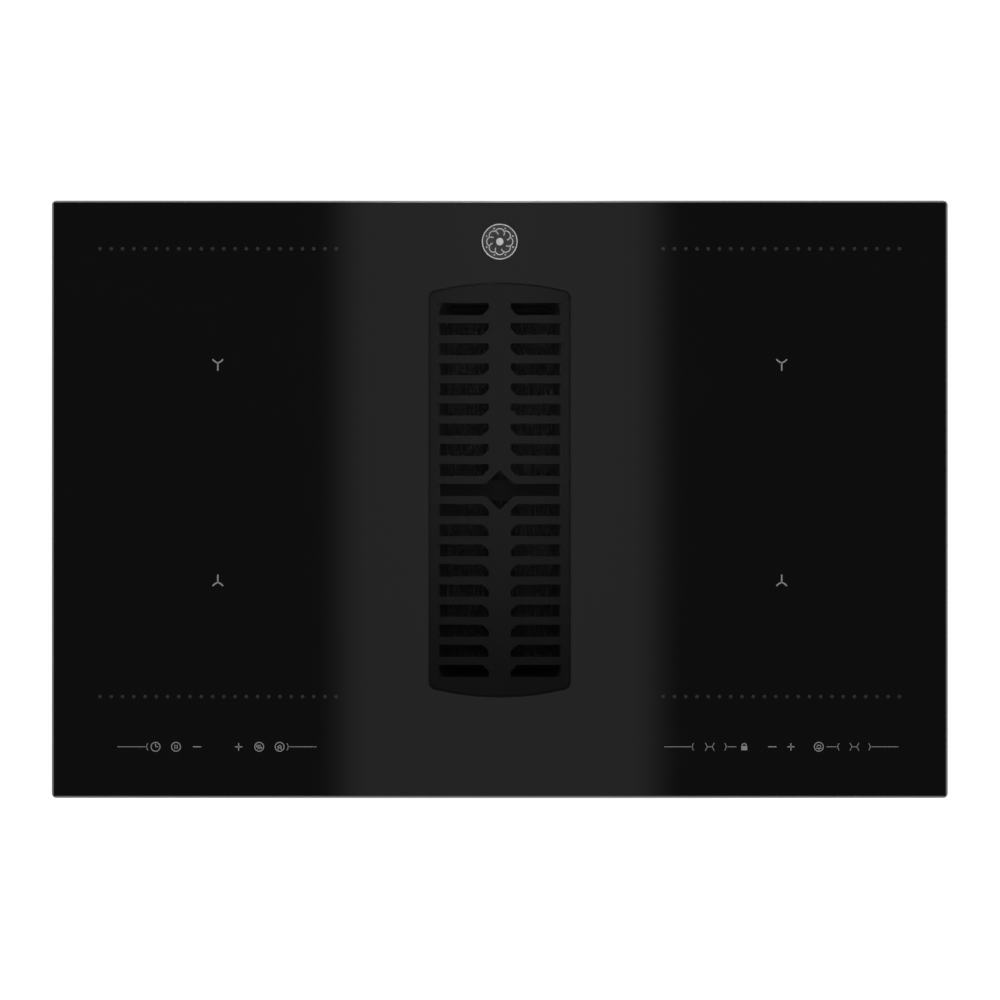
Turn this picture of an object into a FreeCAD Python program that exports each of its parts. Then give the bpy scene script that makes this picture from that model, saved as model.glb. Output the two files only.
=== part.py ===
import FreeCAD, Part
import math
import os

# Venting induction hob: a black glass plate with a lift-out air grille in the middle,
# four induction coils in a steel casing below it, and an extractor hung under the casing.
# Millimetres. +X is the user's right, +Y the rear of the worktop, +Z up.
# The origin is the middle of the glass, on the lowest plane of the extractor.

Vector = FreeCAD.Vector
up = Vector(0, 0, 1)

# Whole product
overall_height = 215.0
cut_overrun = 1.0
same_place = 1e-4
upright_share = 0.99

# Glass plate
glass_width = 780.0
glass_depth = 520.0
glass_thickness = 4.0
glass_corner_radius = 4.0
glass_bevel = 0.9
opening_bevel = 0.5

# Foam seal between the glass and the worktop, and the bead that bonds the casing to the glass
seal_thickness = 2.0
seal_width = 9.0
seal_inset = 2.0
bead_thickness = 1.0
bead_width = 6.0

# Air grille
grille_width = 121.6
grille_front_margin = 88.5
grille_rear_margin = 72.5
grille_end_rise = 8.0
grille_corner_radius = 6.0
grille_plate = 7.0
grille_depth = 14.0
grille_skirt = 2.6
grille_gap = 0.8
grille_edge_round = 0.8
slot_rows = 19
slot_end_margin = 16.75
slot_height_share = 0.6
slot_length = 44.5
slot_cut = 5.5
slot_round = 0.9
spine_width = 19.0
finger_hole_half = 17.5

# Steel casing under the glass
casing_inset = 25.0
casing_height = 60.0
casing_sheet = 1.0
casing_flange = 9.0
casing_corner_radius = 8.0
casing_clearance = 2.0
vent_width = 3.4
vent_length = 56.0
vent_pitch = 9.0
vent_count = 7
stamping_width = 16.0
stamping_depth = 1.5
stamping_pitch = 60.0
stamping_count = 3
stamping_end_inset = 25.0
standoff_radius = 4.0
standoff_height = 5.0

# Inlet collar bonded under the glass, and its seal
collar_wall = 3.0
collar_flange = 14.0
collar_flange_thickness = 3.0
collar_ledge = 3.0
collar_seal_thickness = 2.0
collar_seal_width = 8.0

# Suction box that holds the filter, and the sump below it that holds the drip tray
well_width = 98.0
well_end_inset = 15.5
well_wall = 3.0
well_corner_radius = 9.0
filter_ledge = 4.0
filter_seat_depth = 26.0
box_flange = 7.0
box_flange_thickness = 3.0
hanger_flange = 23.0
sump_height = 100.0
sump_flange = 8.0
sump_flange_thickness = 2.5
sump_foot_round = 2.0

# Grease filter cassette
filter_play = 1.0
filter_sheet = 1.2
filter_depth = 34.0
filter_rim_thickness = 2.0
filter_lip = 5.0
filter_bar_width = 4.0
filter_bar_count = 4
mesh_sheet = 1.0
mesh_height = 14.0
mesh_pleats = 11
grip_width = 18.0
grip_thickness = 2.0

# Drip tray
tray_height = 30.0
tray_wall = 2.0
tray_play = 2.0
tray_rim = 1.5

# Duct from the suction box to the blower
duct_height = 40.0
duct_wall = 2.5
duct_inner_radius = 98.0
window_sill = 3.0
window_front_gap = 18.0

# Blower
blower_x = 195.0
blower_wall = 2.5
scroll_gap = 13.0
scroll_step = 14.0
tongue_angle = 60.0
outlet_reach = 243.0
flare_length = 18.0
split_flange = 6.0
split_flange_thickness = 2.5
split_boss_radius = 5.0
split_boss = 11.0
dish_radius = 52.0
dish_rise = 3.0
bell_radius = 80.5
bell_depth = 10.0
bell_wall = 2.0
bell_flange = 4.5
bell_gap = 3.0

# Duct spigot, the flat 222 x 89 pattern
spigot_width = 222.0
spigot_height = 89.0
spigot_wall = 2.5
spigot_length = 40.0
spigot_corner_radius = 10.0
spigot_rim = 6.0
spigot_rim_thickness = 2.5
spigot_bead = 1.5
spigot_bead_width = 4.0
spigot_bead_setback = 8.0

# Impeller and its motor
impeller_radius = 98.0
impeller_lift = 14.0
impeller_disc = 2.5
blade_count = 28
blade_depth = 18.0
blade_sweep = 9.0
blade_belly = 2.5
blade_thickness = 1.4
impeller_ring = 2.0
cup_radius = 41.5
cup_wall = 2.5
cup_height = 34.0
boss_radius = 9.0
boss_height = 6.0
shaft_radius = 4.0
shaft_clearance = 0.05
motor_base_radius = 46.0
motor_base = 4.0
motor_core_radius = 36.0
motor_top_gap = 2.0
mount_radius = 7.0
mount_height = 5.0
mount_count = 3

# Coils
coil_place_share = 0.31449
coil_width_share = 0.25128
coil_rear_share = 0.22808
coil_pitch_share = 0.36731
coil_gap = 11.0
coil_corner_radius = 60.0
coil_eye = 48.0
coil_eye_radius = 16.0
coil_height = 5.0
mica_sheet = 0.6
mica_margin = 3.0
former_sheet = 2.0
ferrite_height = 4.0
ferrite_width = 8.0
ferrite_length = 52.0
ferrite_start = 28.0
ferrite_count = 8
carrier_sheet = 1.5
carrier_margin = 3.0
carrier_leg = 20.0
sensor_radius = 5.0

# Electronics and cooling
board_thickness = 1.6
board_margin = 15.0
board_front_gap = 90.0
board_fan_gap = 21.0
board_corner_radius = 3.0
capacitor_radius = 11.0
capacitor_height = 30.0
choke_radius = 16.0
choke_height = 18.0
sink_width = 60.0
sink_length = 130.0
sink_base = 5.0
sink_height = 30.0
sink_fins = 9
sink_fin = 1.8
fan_size = 80.0
fan_height = 20.0
fan_rear_gap = 29.0
fan_bore_radius = 37.0
fan_tip_gap = 1.5
fan_hub_radius = 14.0
fan_strut = 5.0
fan_floor = 2.0
fan_pin_radius = 2.0
fan_blades = 7
fan_blade_chord = 15.0
fan_blade_thickness = 1.4
fan_blade_pitch = 32.0
touch_front_margin = 44.5
touch_length = 190.0
touch_depth = 28.0
touch_pad_length = 172.0
touch_pad_depth = 16.0
touch_drop = 6.4

# Mains terminal box
terminal_x = -140.0
terminal_rear_gap = 15.0
terminal_width = 100.0
terminal_length = 70.0
terminal_height = 38.0
terminal_wall = 2.5
terminal_corner_radius = 5.0
terminal_ear = 10.0
terminal_ear_length = 18.0
terminal_block_width = 62.0
terminal_block_length = 22.0
terminal_block_height = 18.0
terminal_poles = 5
terminal_pole_radius = 3.2
gland_bore_radius = 6.5
gland_radius = 9.5
gland_hex_radius = 14.0
gland_hex = 6.0
gland_nose = 8.0
gland_tail = 4.0
gland_clearance = 0.2

# Worktop clamps on the casing sides
clamp_width = 26.0
clamp_length = 44.0
clamp_bow = 7.0
clamp_sheet = 1.0
clamp_drop = 6.0
clamp_y = 130.0

# Screws
screw_radius = 1.6
screw_clearance = 0.2
screw_head_radius = 3.4
screw_head = 2.2
screw_length = 8.0

# Lengths and places in plan worked out from the sizes above
grille_length = glass_depth - grille_front_margin - grille_rear_margin
grille_rearward = (grille_front_margin - grille_rear_margin) / 2
slot_pitch = (grille_length - 2 * slot_end_margin) / (slot_rows - 1 + slot_height_share)
slot_height = slot_pitch * slot_height_share
well_length = grille_length - 2 * well_end_inset
blower_y = grille_rearward - well_length / 2 + window_front_gap + duct_inner_radius
casing_width = glass_width - 2 * casing_inset
casing_depth = glass_depth - 2 * casing_inset
coil_x = glass_width * coil_place_share
coil_width = glass_width * coil_width_share
coil_pitch = glass_depth * coil_pitch_share
coil_length = coil_pitch - coil_gap
coil_rear_y = glass_depth * coil_rear_share
coil_front_y = coil_rear_y - coil_pitch
fan_y = casing_depth / 2 - fan_rear_gap - fan_size / 2
touch_y = touch_front_margin - glass_depth / 2
board_front_y = board_front_gap - casing_depth / 2
board_rear_y = fan_y - fan_size / 2 - board_fan_gap
board_width = coil_width + 2 * board_margin
board_length = board_rear_y - board_front_y
board_y = (board_front_y + board_rear_y) / 2
terminal_y = casing_depth / 2 - terminal_rear_gap - terminal_length / 2

# Levels worked out from the sizes above
glass_under_z = overall_height - glass_thickness
casing_top_z = glass_under_z - bead_thickness
casing_under_z = casing_top_z - casing_height
casing_floor_z = casing_under_z + casing_sheet
grille_under_z = overall_height - grille_depth
collar_top_z = glass_under_z - collar_seal_thickness
collar_under_z = grille_under_z - collar_ledge
filter_seat_z = collar_under_z - filter_seat_depth
filter_under_z = filter_seat_z + filter_rim_thickness - filter_depth
hanger_under_z = casing_under_z - box_flange_thickness
blower_top_z = casing_under_z - duct_height
split_z = blower_top_z / 2
outlet_end_y = blower_y + outlet_reach
spigot_rear_y = outlet_end_y + spigot_length
bell_outer_radius = bell_radius + bell_depth + bell_wall
upper_well_width = well_width + 2 * filter_ledge
upper_well_length = well_length + 2 * filter_ledge
upper_well_radius = well_corner_radius + filter_ledge
mount_z = blower_wall + dish_rise
impeller_z = blower_wall + impeller_lift
impeller_top_z = blower_top_z - bell_depth - bell_gap
blade_low_z = impeller_z + impeller_disc
blade_top_z = impeller_top_z - impeller_ring
cup_top_z = impeller_z + cup_height
boss_under_z = cup_top_z - cup_wall - boss_height
mica_z = glass_under_z - mica_sheet
coil_z = mica_z - coil_height
former_z = coil_z - former_sheet
ferrite_z = former_z - ferrite_height
carrier_z = ferrite_z - carrier_sheet
board_z = casing_floor_z + standoff_height
board_top_z = board_z + board_thickness
touch_z = glass_under_z - touch_drop - board_thickness
terminal_under_z = casing_under_z - terminal_height


def rounded_outline(corners, radius):
    """Closed wire through the corners (x, y), each one rounded by an arc."""
    edges = []
    starts = []
    ends = []
    count = len(corners)
    for i in range(count):
        corner = Vector(corners[i][0], corners[i][1], 0)
        before = Vector(corners[i - 1][0], corners[i - 1][1], 0) - corner
        after = Vector(corners[(i + 1) % count][0], corners[(i + 1) % count][1], 0) - corner
        before.normalize()
        after.normalize()
        half = before.getAngle(after) / 2
        middle = before + after
        middle.normalize()
        reach = radius / math.tan(half)
        start = corner + before * reach
        end = corner + after * reach
        crest = corner + middle * (radius / math.sin(half) - radius)
        edges.append(Part.Arc(start, crest, end).toShape())
        starts.append(start)
        ends.append(end)
    for i in range(count):
        if ends[i - 1].distanceToPoint(starts[i]) > same_place:
            edges.append(Part.LineSegment(ends[i - 1], starts[i]).toShape())
    return Part.Wire(Part.__sortEdges__(edges))


def prism(corners, radius, z_low, z_high):
    """Upright prism of a rounded polygon."""
    face = Part.Face(rounded_outline(corners, radius))
    face.translate(Vector(0, 0, z_low))
    return face.extrude(Vector(0, 0, z_high - z_low))


def rounded_block(width, length, radius, x, y, z_low, z_high):
    """Upright block with rounded upright edges, centred on x, y."""
    half_x = width / 2
    half_y = length / 2
    corners = [(x - half_x, y - half_y), (x + half_x, y - half_y),
               (x + half_x, y + half_y), (x - half_x, y + half_y)]
    return prism(corners, radius, z_low, z_high)


def block(width, length, x, y, z_low, z_high):
    """Sharp upright block centred on x, y."""
    corner = Vector(x - width / 2, y - length / 2, z_low)
    return Part.makeBox(width, length, z_high - z_low, corner)


def cylinder(radius, x, y, z_low, z_high):
    """Upright cylinder."""
    return Part.makeCylinder(radius, z_high - z_low, Vector(x, y, z_low))


def arched_block(grow, z_low, z_high):
    """Prism of the grille's outline, grown outwards: straight sides and bowed ends."""
    half_x = grille_width / 2 + grow
    apex = grille_length / 2 + grow
    shoulder = apex - grille_end_rise
    y = grille_rearward
    low_left = Vector(-half_x, y - shoulder, z_low)
    low_right = Vector(half_x, y - shoulder, z_low)
    top_right = Vector(half_x, y + shoulder, z_low)
    top_left = Vector(-half_x, y + shoulder, z_low)
    edges = [Part.Arc(low_left, Vector(0, y - apex, z_low), low_right).toShape(),
             Part.LineSegment(low_right, top_right).toShape(),
             Part.Arc(top_right, Vector(0, y + apex, z_low), top_left).toShape(),
             Part.LineSegment(top_left, low_left).toShape()]
    solid = Part.Face(Part.Wire(edges)).extrude(Vector(0, 0, z_high - z_low))
    return solid.makeFillet(grille_corner_radius + grow, upright_edges(solid))


def upright_edges(solid):
    """Straight edges of a solid that run along Z."""
    found = []
    for edge in solid.Edges:
        if isinstance(edge.Curve, Part.Line) and abs(edge.tangentAt(edge.FirstParameter).z) > upright_share:
            found.append(edge)
    return found


def edges_at(solid, z):
    """Edges of a solid that lie wholly in the plane at height z."""
    found = []
    for edge in solid.Edges:
        box = edge.BoundBox
        if abs(box.ZMin - z) < same_place and abs(box.ZMax - z) < same_place:
            found.append(edge)
    return found


def turned(shape, degrees, x, y):
    """Copy of a shape turned about an upright axis."""
    copy = shape.copy()
    copy.rotate(Vector(x, y, 0), up, degrees)
    return copy


def save(name, shape):
    """Write one piece, as one solid or a group of separate solids."""
    clean = shape.removeSplitter()
    solids = clean.Solids
    if len(solids) == 1:
        clean = solids[0]
    else:
        clean = Part.makeCompound(solids)
    clean.exportStep("parts/" + name + ".step")
    print(name, len(solids), "solid(s)", round(clean.Volume / 1000, 1), "cm3", clean.isValid())


def make_glass():
    """Glass plate with a ground bevel round its edge and a smaller one round the grille's opening."""
    plate = rounded_block(glass_width, glass_depth, glass_corner_radius, 0, 0, glass_under_z, overall_height)
    plate = plate.makeChamfer(glass_bevel, edges_at(plate, overall_height))
    plate = plate.cut(arched_block(grille_gap, glass_under_z - cut_overrun, overall_height + cut_overrun))
    reach = grille_width / 2 + grille_gap + cut_overrun
    rim = [edge for edge in edges_at(plate, overall_height)
           if edge.BoundBox.XMin > -reach and edge.BoundBox.XMax < reach]
    return plate.makeChamfer(opening_bevel, rim)


def make_ring(outer_width, outer_depth, ring_width, radius, z_low, z_high):
    """Flat rectangular ring with rounded corners."""
    outer = rounded_block(outer_width, outer_depth, radius, 0, 0, z_low, z_high)
    inner = rounded_block(outer_width - 2 * ring_width, outer_depth - 2 * ring_width, radius, 0, 0,
                          z_low - cut_overrun, z_high + cut_overrun)
    return outer.cut(inner)


def slot_corners(side, row_y, cut_end):
    """Corners of one grille slot: its inner corner is cut at 45 degrees on the cut_end side."""
    inner = side * spine_width / 2
    outer = side * (spine_width / 2 + slot_length)
    near = row_y + cut_end * slot_height / 2
    far = row_y - cut_end * slot_height / 2
    return [(outer, far), (inner, far), (inner, near - cut_end * slot_cut),
            (inner + side * slot_cut, near), (outer, near)]


def make_grille():
    """Cast grille: bowed ends, a spine between two columns of slots, and a square finger hole on edge."""
    body = arched_block(0, grille_under_z, overall_height)
    body = body.makeFillet(grille_edge_round, edges_at(body, overall_height))
    hollow = arched_block(-grille_skirt, grille_under_z - cut_overrun, overall_height - grille_plate)
    body = body.cut(hollow)
    cut_low = overall_height - grille_plate - cut_overrun
    cut_high = overall_height + cut_overrun
    cuts = []
    middle = slot_rows // 2
    for row in range(slot_rows):
        row_y = grille_rearward + (row - middle) * slot_pitch
        if row == middle:
            span = spine_width + 2 * slot_length
            cuts.append(rounded_block(span, slot_height, slot_round, 0, row_y, cut_low, cut_high))
            square = [(-finger_hole_half, row_y), (0, row_y - finger_hole_half),
                      (finger_hole_half, row_y), (0, row_y + finger_hole_half)]
            cuts.append(prism(square, slot_round, cut_low, cut_high))
            continue
        cut_end = 1 if row < middle else -1
        for side in (-1, 1):
            cuts.append(prism(slot_corners(side, row_y, cut_end), slot_round, cut_low, cut_high))
    return body.cut(cuts)


def make_collar():
    """Moulded collar under the glass: a flange, a tube that follows the grille and a ledge under it."""
    tube = arched_block(grille_gap + collar_wall, collar_under_z, collar_top_z)
    flange = arched_block(grille_gap + collar_flange, collar_top_z - collar_flange_thickness, collar_top_z)
    recess = arched_block(grille_gap, grille_under_z, collar_top_z + cut_overrun)
    mouth = rounded_block(upper_well_width, upper_well_length, upper_well_radius, 0, grille_rearward,
                          collar_under_z - cut_overrun, collar_top_z + cut_overrun)
    return tube.fuse(flange).cut([recess, mouth])


def make_collar_seal():
    """Silicone ring pressed between the collar and the glass."""
    outer = arched_block(grille_gap + collar_seal_width, collar_top_z, glass_under_z)
    return outer.cut(arched_block(grille_gap, collar_top_z - cut_overrun, glass_under_z + cut_overrun))


def make_suction_box():
    """Moulded well: a seat for the filter, a flange that hangs from the casing and a window to the duct."""
    wall = 2 * well_wall
    y = grille_rearward
    step_z = filter_seat_z - well_wall
    lower = rounded_block(well_width + wall, well_length + wall, well_corner_radius + well_wall, 0, y,
                          sump_height, filter_seat_z)
    upper = rounded_block(upper_well_width + wall, upper_well_length + wall, upper_well_radius + well_wall,
                          0, y, step_z, collar_under_z)
    rim = rounded_block(upper_well_width + wall + 2 * box_flange, upper_well_length + wall + 2 * box_flange,
                        upper_well_radius + well_wall + box_flange, 0, y,
                        collar_under_z - box_flange_thickness, collar_under_z)
    hanger = rounded_block(well_width + wall + 2 * hanger_flange, well_length + wall + 2 * hanger_flange,
                           well_corner_radius + hanger_flange, 0, y, hanger_under_z, casing_under_z)
    foot = sump_flange_block(sump_height, sump_height + sump_flange_thickness)
    body = lower.fuse([upper, rim, hanger, foot])
    well = rounded_block(well_width, well_length, well_corner_radius, 0, y, sump_height - cut_overrun,
                         filter_seat_z + cut_overrun)
    seat = rounded_block(upper_well_width, upper_well_length, upper_well_radius, 0, y, filter_seat_z,
                         collar_under_z + cut_overrun)
    window = block(well_wall + 2 * cut_overrun, 2 * duct_inner_radius, well_width / 2 + well_wall / 2,
                   blower_y, blower_top_z + window_sill, hanger_under_z - duct_wall)
    holes = [cylinder(screw_radius + screw_clearance, x, hole_y, hanger_under_z - cut_overrun,
                      casing_under_z + cut_overrun) for x, hole_y in hanger_screw_places()]
    return body.cut([well, seat, window] + holes + sump_screw_holes())


def sump_flange_block(z_low, z_high):
    """Outline of the flange where the sump meets the suction box."""
    grow = 2 * (well_wall + sump_flange)
    return rounded_block(well_width + grow, well_length + grow, well_corner_radius + well_wall + sump_flange,
                         0, grille_rearward, z_low, z_high)


def sump_screw_places():
    """Screws round the sump's flange: two along each side and one at each end."""
    reach = well_wall + sump_flange / 2
    side_x = well_width / 2 + reach
    end_y = well_length / 2 + reach
    places = [(i * side_x, grille_rearward + j * well_length / 3) for i in (-1, 1) for j in (-1, 1)]
    return places + [(0, grille_rearward - end_y), (0, grille_rearward + end_y)]


def sump_screw_holes():
    """Holes through both flanges of the sump joint."""
    return [cylinder(screw_radius + screw_clearance, x, y, sump_height - sump_flange_thickness - cut_overrun,
                     sump_height + sump_flange_thickness + cut_overrun) for x, y in sump_screw_places()]


def make_sump():
    """Open box screwed under the suction box: it holds the drip tray and the unit stands on it."""
    wall = 2 * well_wall
    y = grille_rearward
    outer = rounded_block(well_width + wall, well_length + wall, well_corner_radius + well_wall, 0, y, 0,
                          sump_height)
    outer = outer.makeFillet(sump_foot_round, edges_at(outer, 0))
    flange = sump_flange_block(sump_height - sump_flange_thickness, sump_height)
    well = rounded_block(well_width, well_length, well_corner_radius, 0, y, well_wall,
                         sump_height + cut_overrun)
    return outer.fuse(flange).cut([well] + sump_screw_holes())


def hanger_screw_places():
    """Screws that hold the suction box to the casing: along its free side and at both ends."""
    side_x = -(well_width / 2 + well_wall + hanger_flange / 2)
    end_y = well_length / 2 + well_wall + hanger_flange / 2
    side_y = well_length / 3
    return [(side_x, grille_rearward - side_y), (side_x, grille_rearward), (side_x, grille_rearward + side_y),
            (0, grille_rearward - end_y), (0, grille_rearward + end_y)]


def make_casing():
    """Folded steel tray: an outward flange, stamped beads, vents under the fans, standoffs and shelves."""
    outer = rounded_block(casing_width, casing_depth, casing_corner_radius, 0, 0, casing_under_z,
                          casing_top_z)
    inner_width = casing_width - 2 * casing_sheet
    inner_depth = casing_depth - 2 * casing_sheet
    inner = rounded_block(inner_width, inner_depth, casing_corner_radius - casing_sheet, 0, 0, casing_floor_z,
                          casing_top_z + cut_overrun)
    flange = make_ring(casing_width + 2 * casing_flange, casing_depth + 2 * casing_flange,
                       casing_flange + casing_sheet / 2, casing_corner_radius, casing_top_z - casing_sheet,
                       casing_top_z)
    additions = [flange]
    front_y = -casing_depth / 2 + casing_sheet / 2
    shelf_depth = touch_y + touch_depth / 2 - front_y
    cuts = []
    for side in (-1, 1):
        for x, y in standoff_places(side):
            additions.append(cylinder(standoff_radius, x, y, casing_under_z + casing_sheet / 2, board_z))
        additions.append(block(touch_length, shelf_depth, side * coil_x, front_y + shelf_depth / 2,
                               touch_z - casing_sheet, touch_z))
        for row in range(stamping_count):
            stamping_x = side * coil_x + (row - (stamping_count - 1) / 2) * stamping_pitch
            additions.append(stamping(0, stamping_x, casing_under_z - stamping_depth, casing_floor_z))
            cuts.append(stamping(casing_sheet, stamping_x, casing_floor_z - stamping_depth,
                                 casing_floor_z + cut_overrun))
        for slot in range(vent_count):
            slot_x = side * coil_x + (slot - (vent_count - 1) / 2) * vent_pitch
            cuts.append(rounded_block(vent_width, vent_length, vent_width / 3, slot_x, fan_y,
                                      casing_under_z - cut_overrun, casing_floor_z + cut_overrun))
            slot_y = board_y + (slot - (vent_count - 1) / 2) * 2 * vent_pitch
            cuts.append(block(4 * casing_sheet, vent_pitch, side * casing_width / 2, slot_y,
                              board_top_z, board_top_z + sink_height))
    opening = rounded_block(upper_well_width + 2 * (well_wall + box_flange + casing_clearance),
                            upper_well_length + 2 * (well_wall + box_flange + casing_clearance),
                            upper_well_radius + well_wall + box_flange, 0, grille_rearward,
                            casing_under_z - cut_overrun, casing_floor_z + cut_overrun)
    for x, y in hanger_screw_places() + terminal_screw_places():
        cuts.append(cylinder(screw_radius + screw_clearance, x, y, casing_under_z - cut_overrun,
                             casing_floor_z + cut_overrun))
    return outer.cut(inner).fuse(additions).cut([opening] + cuts)


def stamping(inset, x, z_low, z_high):
    """Long stiffening bead under a power board, or its hollow side where inset by the sheet."""
    return rounded_block(stamping_width - 2 * inset, board_length - 2 * (stamping_end_inset + inset),
                         stamping_width / 3, x, board_y, z_low, z_high)


def standoff_places(side):
    """Four standoffs near the corners of a power board."""
    inset = 3 * standoff_radius
    x_reach = board_width / 2 - inset
    y_reach = board_length / 2 - inset
    return [(side * coil_x + i * x_reach, board_y + j * y_reach) for i in (-1, 1) for j in (-1, 1)]


def make_filter_frame():
    """Pressed steel cassette: a rim that hangs on the seat, upright walls and bars that carry the mesh."""
    y = grille_rearward
    body_width = well_width - 2 * filter_play
    body_length = well_length - 2 * filter_play
    rim = rounded_block(upper_well_width - 2 * filter_play, upper_well_length - 2 * filter_play,
                        upper_well_radius - filter_play, 0, y, filter_seat_z,
                        filter_seat_z + filter_rim_thickness)
    body = rounded_block(body_width, body_length, well_corner_radius - filter_play, 0, y, filter_under_z,
                         filter_seat_z + filter_rim_thickness / 2)
    hollow = rounded_block(body_width - 2 * filter_sheet, body_length - 2 * filter_sheet,
                           well_corner_radius - filter_play - filter_sheet, 0, y,
                           filter_under_z + filter_sheet, filter_seat_z + filter_depth)
    mouth = rounded_block(body_width - 2 * filter_lip, body_length - 2 * filter_lip, well_corner_radius / 2,
                          0, y, filter_under_z - cut_overrun, filter_seat_z)
    bars = []
    bar_span = body_width - filter_sheet
    for i in range(filter_bar_count):
        share = (i + 1) / (filter_bar_count + 1)
        bar_y = y - body_length / 2 + share * body_length
        bars.append(block(bar_span, filter_bar_width, 0, bar_y, filter_under_z,
                          filter_under_z + filter_sheet))
    return rim.fuse(body).cut([hollow, mouth]).fuse(bars)


def make_filter_mesh():
    """Pleated grease mesh that lies on the cassette's bars."""
    width = well_width - 2 * filter_play - 2 * filter_sheet - filter_play
    length = well_length - 2 * filter_play - 2 * filter_sheet - 2 * well_corner_radius
    pitch = width / mesh_pleats
    low = filter_under_z + filter_sheet
    high = low + mesh_height - mesh_sheet
    bottom = []
    for i in range(2 * mesh_pleats + 1):
        bottom.append(Vector(-width / 2 + i * pitch / 2, 0, low if i % 2 == 0 else high))
    top = [point + Vector(0, 0, mesh_sheet) for point in reversed(bottom)]
    outline = Part.makePolygon(bottom + top + [bottom[0]])
    sheet = Part.Face(outline).extrude(Vector(0, length, 0))
    sheet.translate(Vector(0, grille_rearward - length / 2, 0))
    return sheet


def make_filter_grip():
    """Strip across the middle of the cassette's rim, to lift it by."""
    span = well_width - 2 * filter_play + filter_lip
    rim_top = filter_seat_z + filter_rim_thickness
    return rounded_block(span, grip_width, grip_thickness, 0, grille_rearward, rim_top,
                         rim_top + grip_thickness)


def make_drip_tray():
    """Moulded tray on the floor of the sump, with a turned-out rim."""
    y = grille_rearward
    width = well_width - 2 * tray_play - 2 * tray_rim
    length = well_length - 2 * tray_play - 2 * tray_rim
    radius = well_corner_radius - tray_play - tray_rim
    outer = rounded_block(width, length, radius, 0, y, well_wall, well_wall + tray_height)
    rim = rounded_block(width + 2 * tray_rim, length + 2 * tray_rim, radius + tray_rim, 0, y,
                        well_wall + tray_height - tray_wall, well_wall + tray_height)
    inner = rounded_block(width - 2 * tray_wall, length - 2 * tray_wall, radius - tray_wall, 0, y,
                          well_wall + tray_wall, well_wall + tray_height + cut_overrun)
    return outer.fuse(rim).cut(inner)


def duct_outline(grow):
    """Plan of the duct: straight walls from the suction box, then a half circle round the inlet."""
    reach = duct_inner_radius + grow
    x_start = well_width / 2 + well_wall
    points = [Vector(x_start, blower_y + reach, 0), Vector(x_start, blower_y - reach, 0),
              Vector(blower_x, blower_y - reach, 0), Vector(blower_x + reach, blower_y, 0),
              Vector(blower_x, blower_y + reach, 0)]
    edges = [Part.LineSegment(points[0], points[1]), Part.LineSegment(points[1], points[2]),
             Part.Arc(points[2], points[3], points[4]), Part.LineSegment(points[4], points[0])]
    return Part.Face(Part.Wire([edge.toShape() for edge in edges]))


def make_duct():
    """Hood that leads the air from the suction box's window over the blower's inlet."""
    outer = duct_outline(duct_wall)
    outer.translate(Vector(0, 0, blower_top_z))
    shell = outer.extrude(Vector(0, 0, hanger_under_z - blower_top_z))
    inner = duct_outline(0)
    inner.translate(Vector(0, 0, blower_top_z - cut_overrun))
    hollow = inner.extrude(Vector(0, 0, hanger_under_z - duct_wall - blower_top_z + cut_overrun))
    mouth = block(2 * duct_wall, 2 * duct_inner_radius, well_width / 2 + well_wall, blower_y,
                  blower_top_z - cut_overrun, hanger_under_z - duct_wall)
    return shell.cut([hollow, mouth])


def scroll_centres():
    """Centres and radii of the scroll's three arcs: each quarter turn is one step wider."""
    first_radius = impeller_radius + scroll_gap + scroll_step / 2
    first = Vector(blower_x, blower_y - scroll_step / 2, 0)
    second = first + Vector(scroll_step, 0, 0)
    third = second + Vector(0, scroll_step, 0)
    return [(first, first_radius), (second, first_radius + scroll_step),
            (third, first_radius + 2 * scroll_step)]


def on_circle(centre, radius, degrees):
    """Point of a circle at an angle from +X."""
    angle = math.radians(degrees)
    return centre + Vector(radius * math.cos(angle), radius * math.sin(angle), 0)


def scroll_outline():
    """Inside outline of the scroll: a spiral of arcs from the tongue round to the straight outlet."""
    (first, first_radius), (second, second_radius), (third, third_radius) = scroll_centres()
    tongue = on_circle(first, first_radius, tongue_angle)
    left = on_circle(first, first_radius, 180)
    front = on_circle(second, second_radius, 270)
    right = on_circle(third, third_radius, 360)
    end_y = outlet_end_y - blower_wall
    right_end = Vector(right.x, end_y, 0)
    left_end = Vector(right.x - spigot_width + 2 * spigot_wall, end_y, 0)
    flare = Vector(left_end.x, end_y - flare_length, 0)
    edges = [Part.Arc(tongue, on_circle(first, first_radius, 120), left).toShape(),
             Part.Arc(left, on_circle(second, second_radius, 225), front).toShape(),
             Part.Arc(front, on_circle(third, third_radius, 315), right).toShape(),
             Part.LineSegment(right, right_end).toShape(),
             Part.LineSegment(right_end, left_end).toShape(),
             Part.LineSegment(left_end, flare).toShape(),
             Part.LineSegment(flare, tongue).toShape()]
    return Part.Wire(edges)


def scroll_block(grow, z_low, z_high):
    """Prism of the scroll's outline, grown outwards."""
    wire = scroll_outline()
    if grow > 0:
        wire = wire.makeOffset2D(grow, join=2)
        if not isinstance(wire, Part.Wire):
            wire = wire.Wires[0]
    face = Part.Face(wire)
    face.translate(Vector(0, 0, z_low))
    return face.extrude(Vector(0, 0, z_high - z_low))


def spigot_middle_x():
    """Middle of the outlet, which ends flush with the scroll's right wall."""
    third, third_radius = scroll_centres()[2]
    return third.x + third_radius + spigot_wall - spigot_width / 2


def outlet_hole():
    """Rectangular hole through the rear wall of the scroll."""
    y_middle = outlet_end_y - blower_wall / 2
    return block(spigot_width - 2 * spigot_wall, blower_wall + 2 * cut_overrun, spigot_middle_x(), y_middle,
                 split_z - spigot_height / 2 + spigot_wall, split_z + spigot_height / 2 - spigot_wall)


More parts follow.
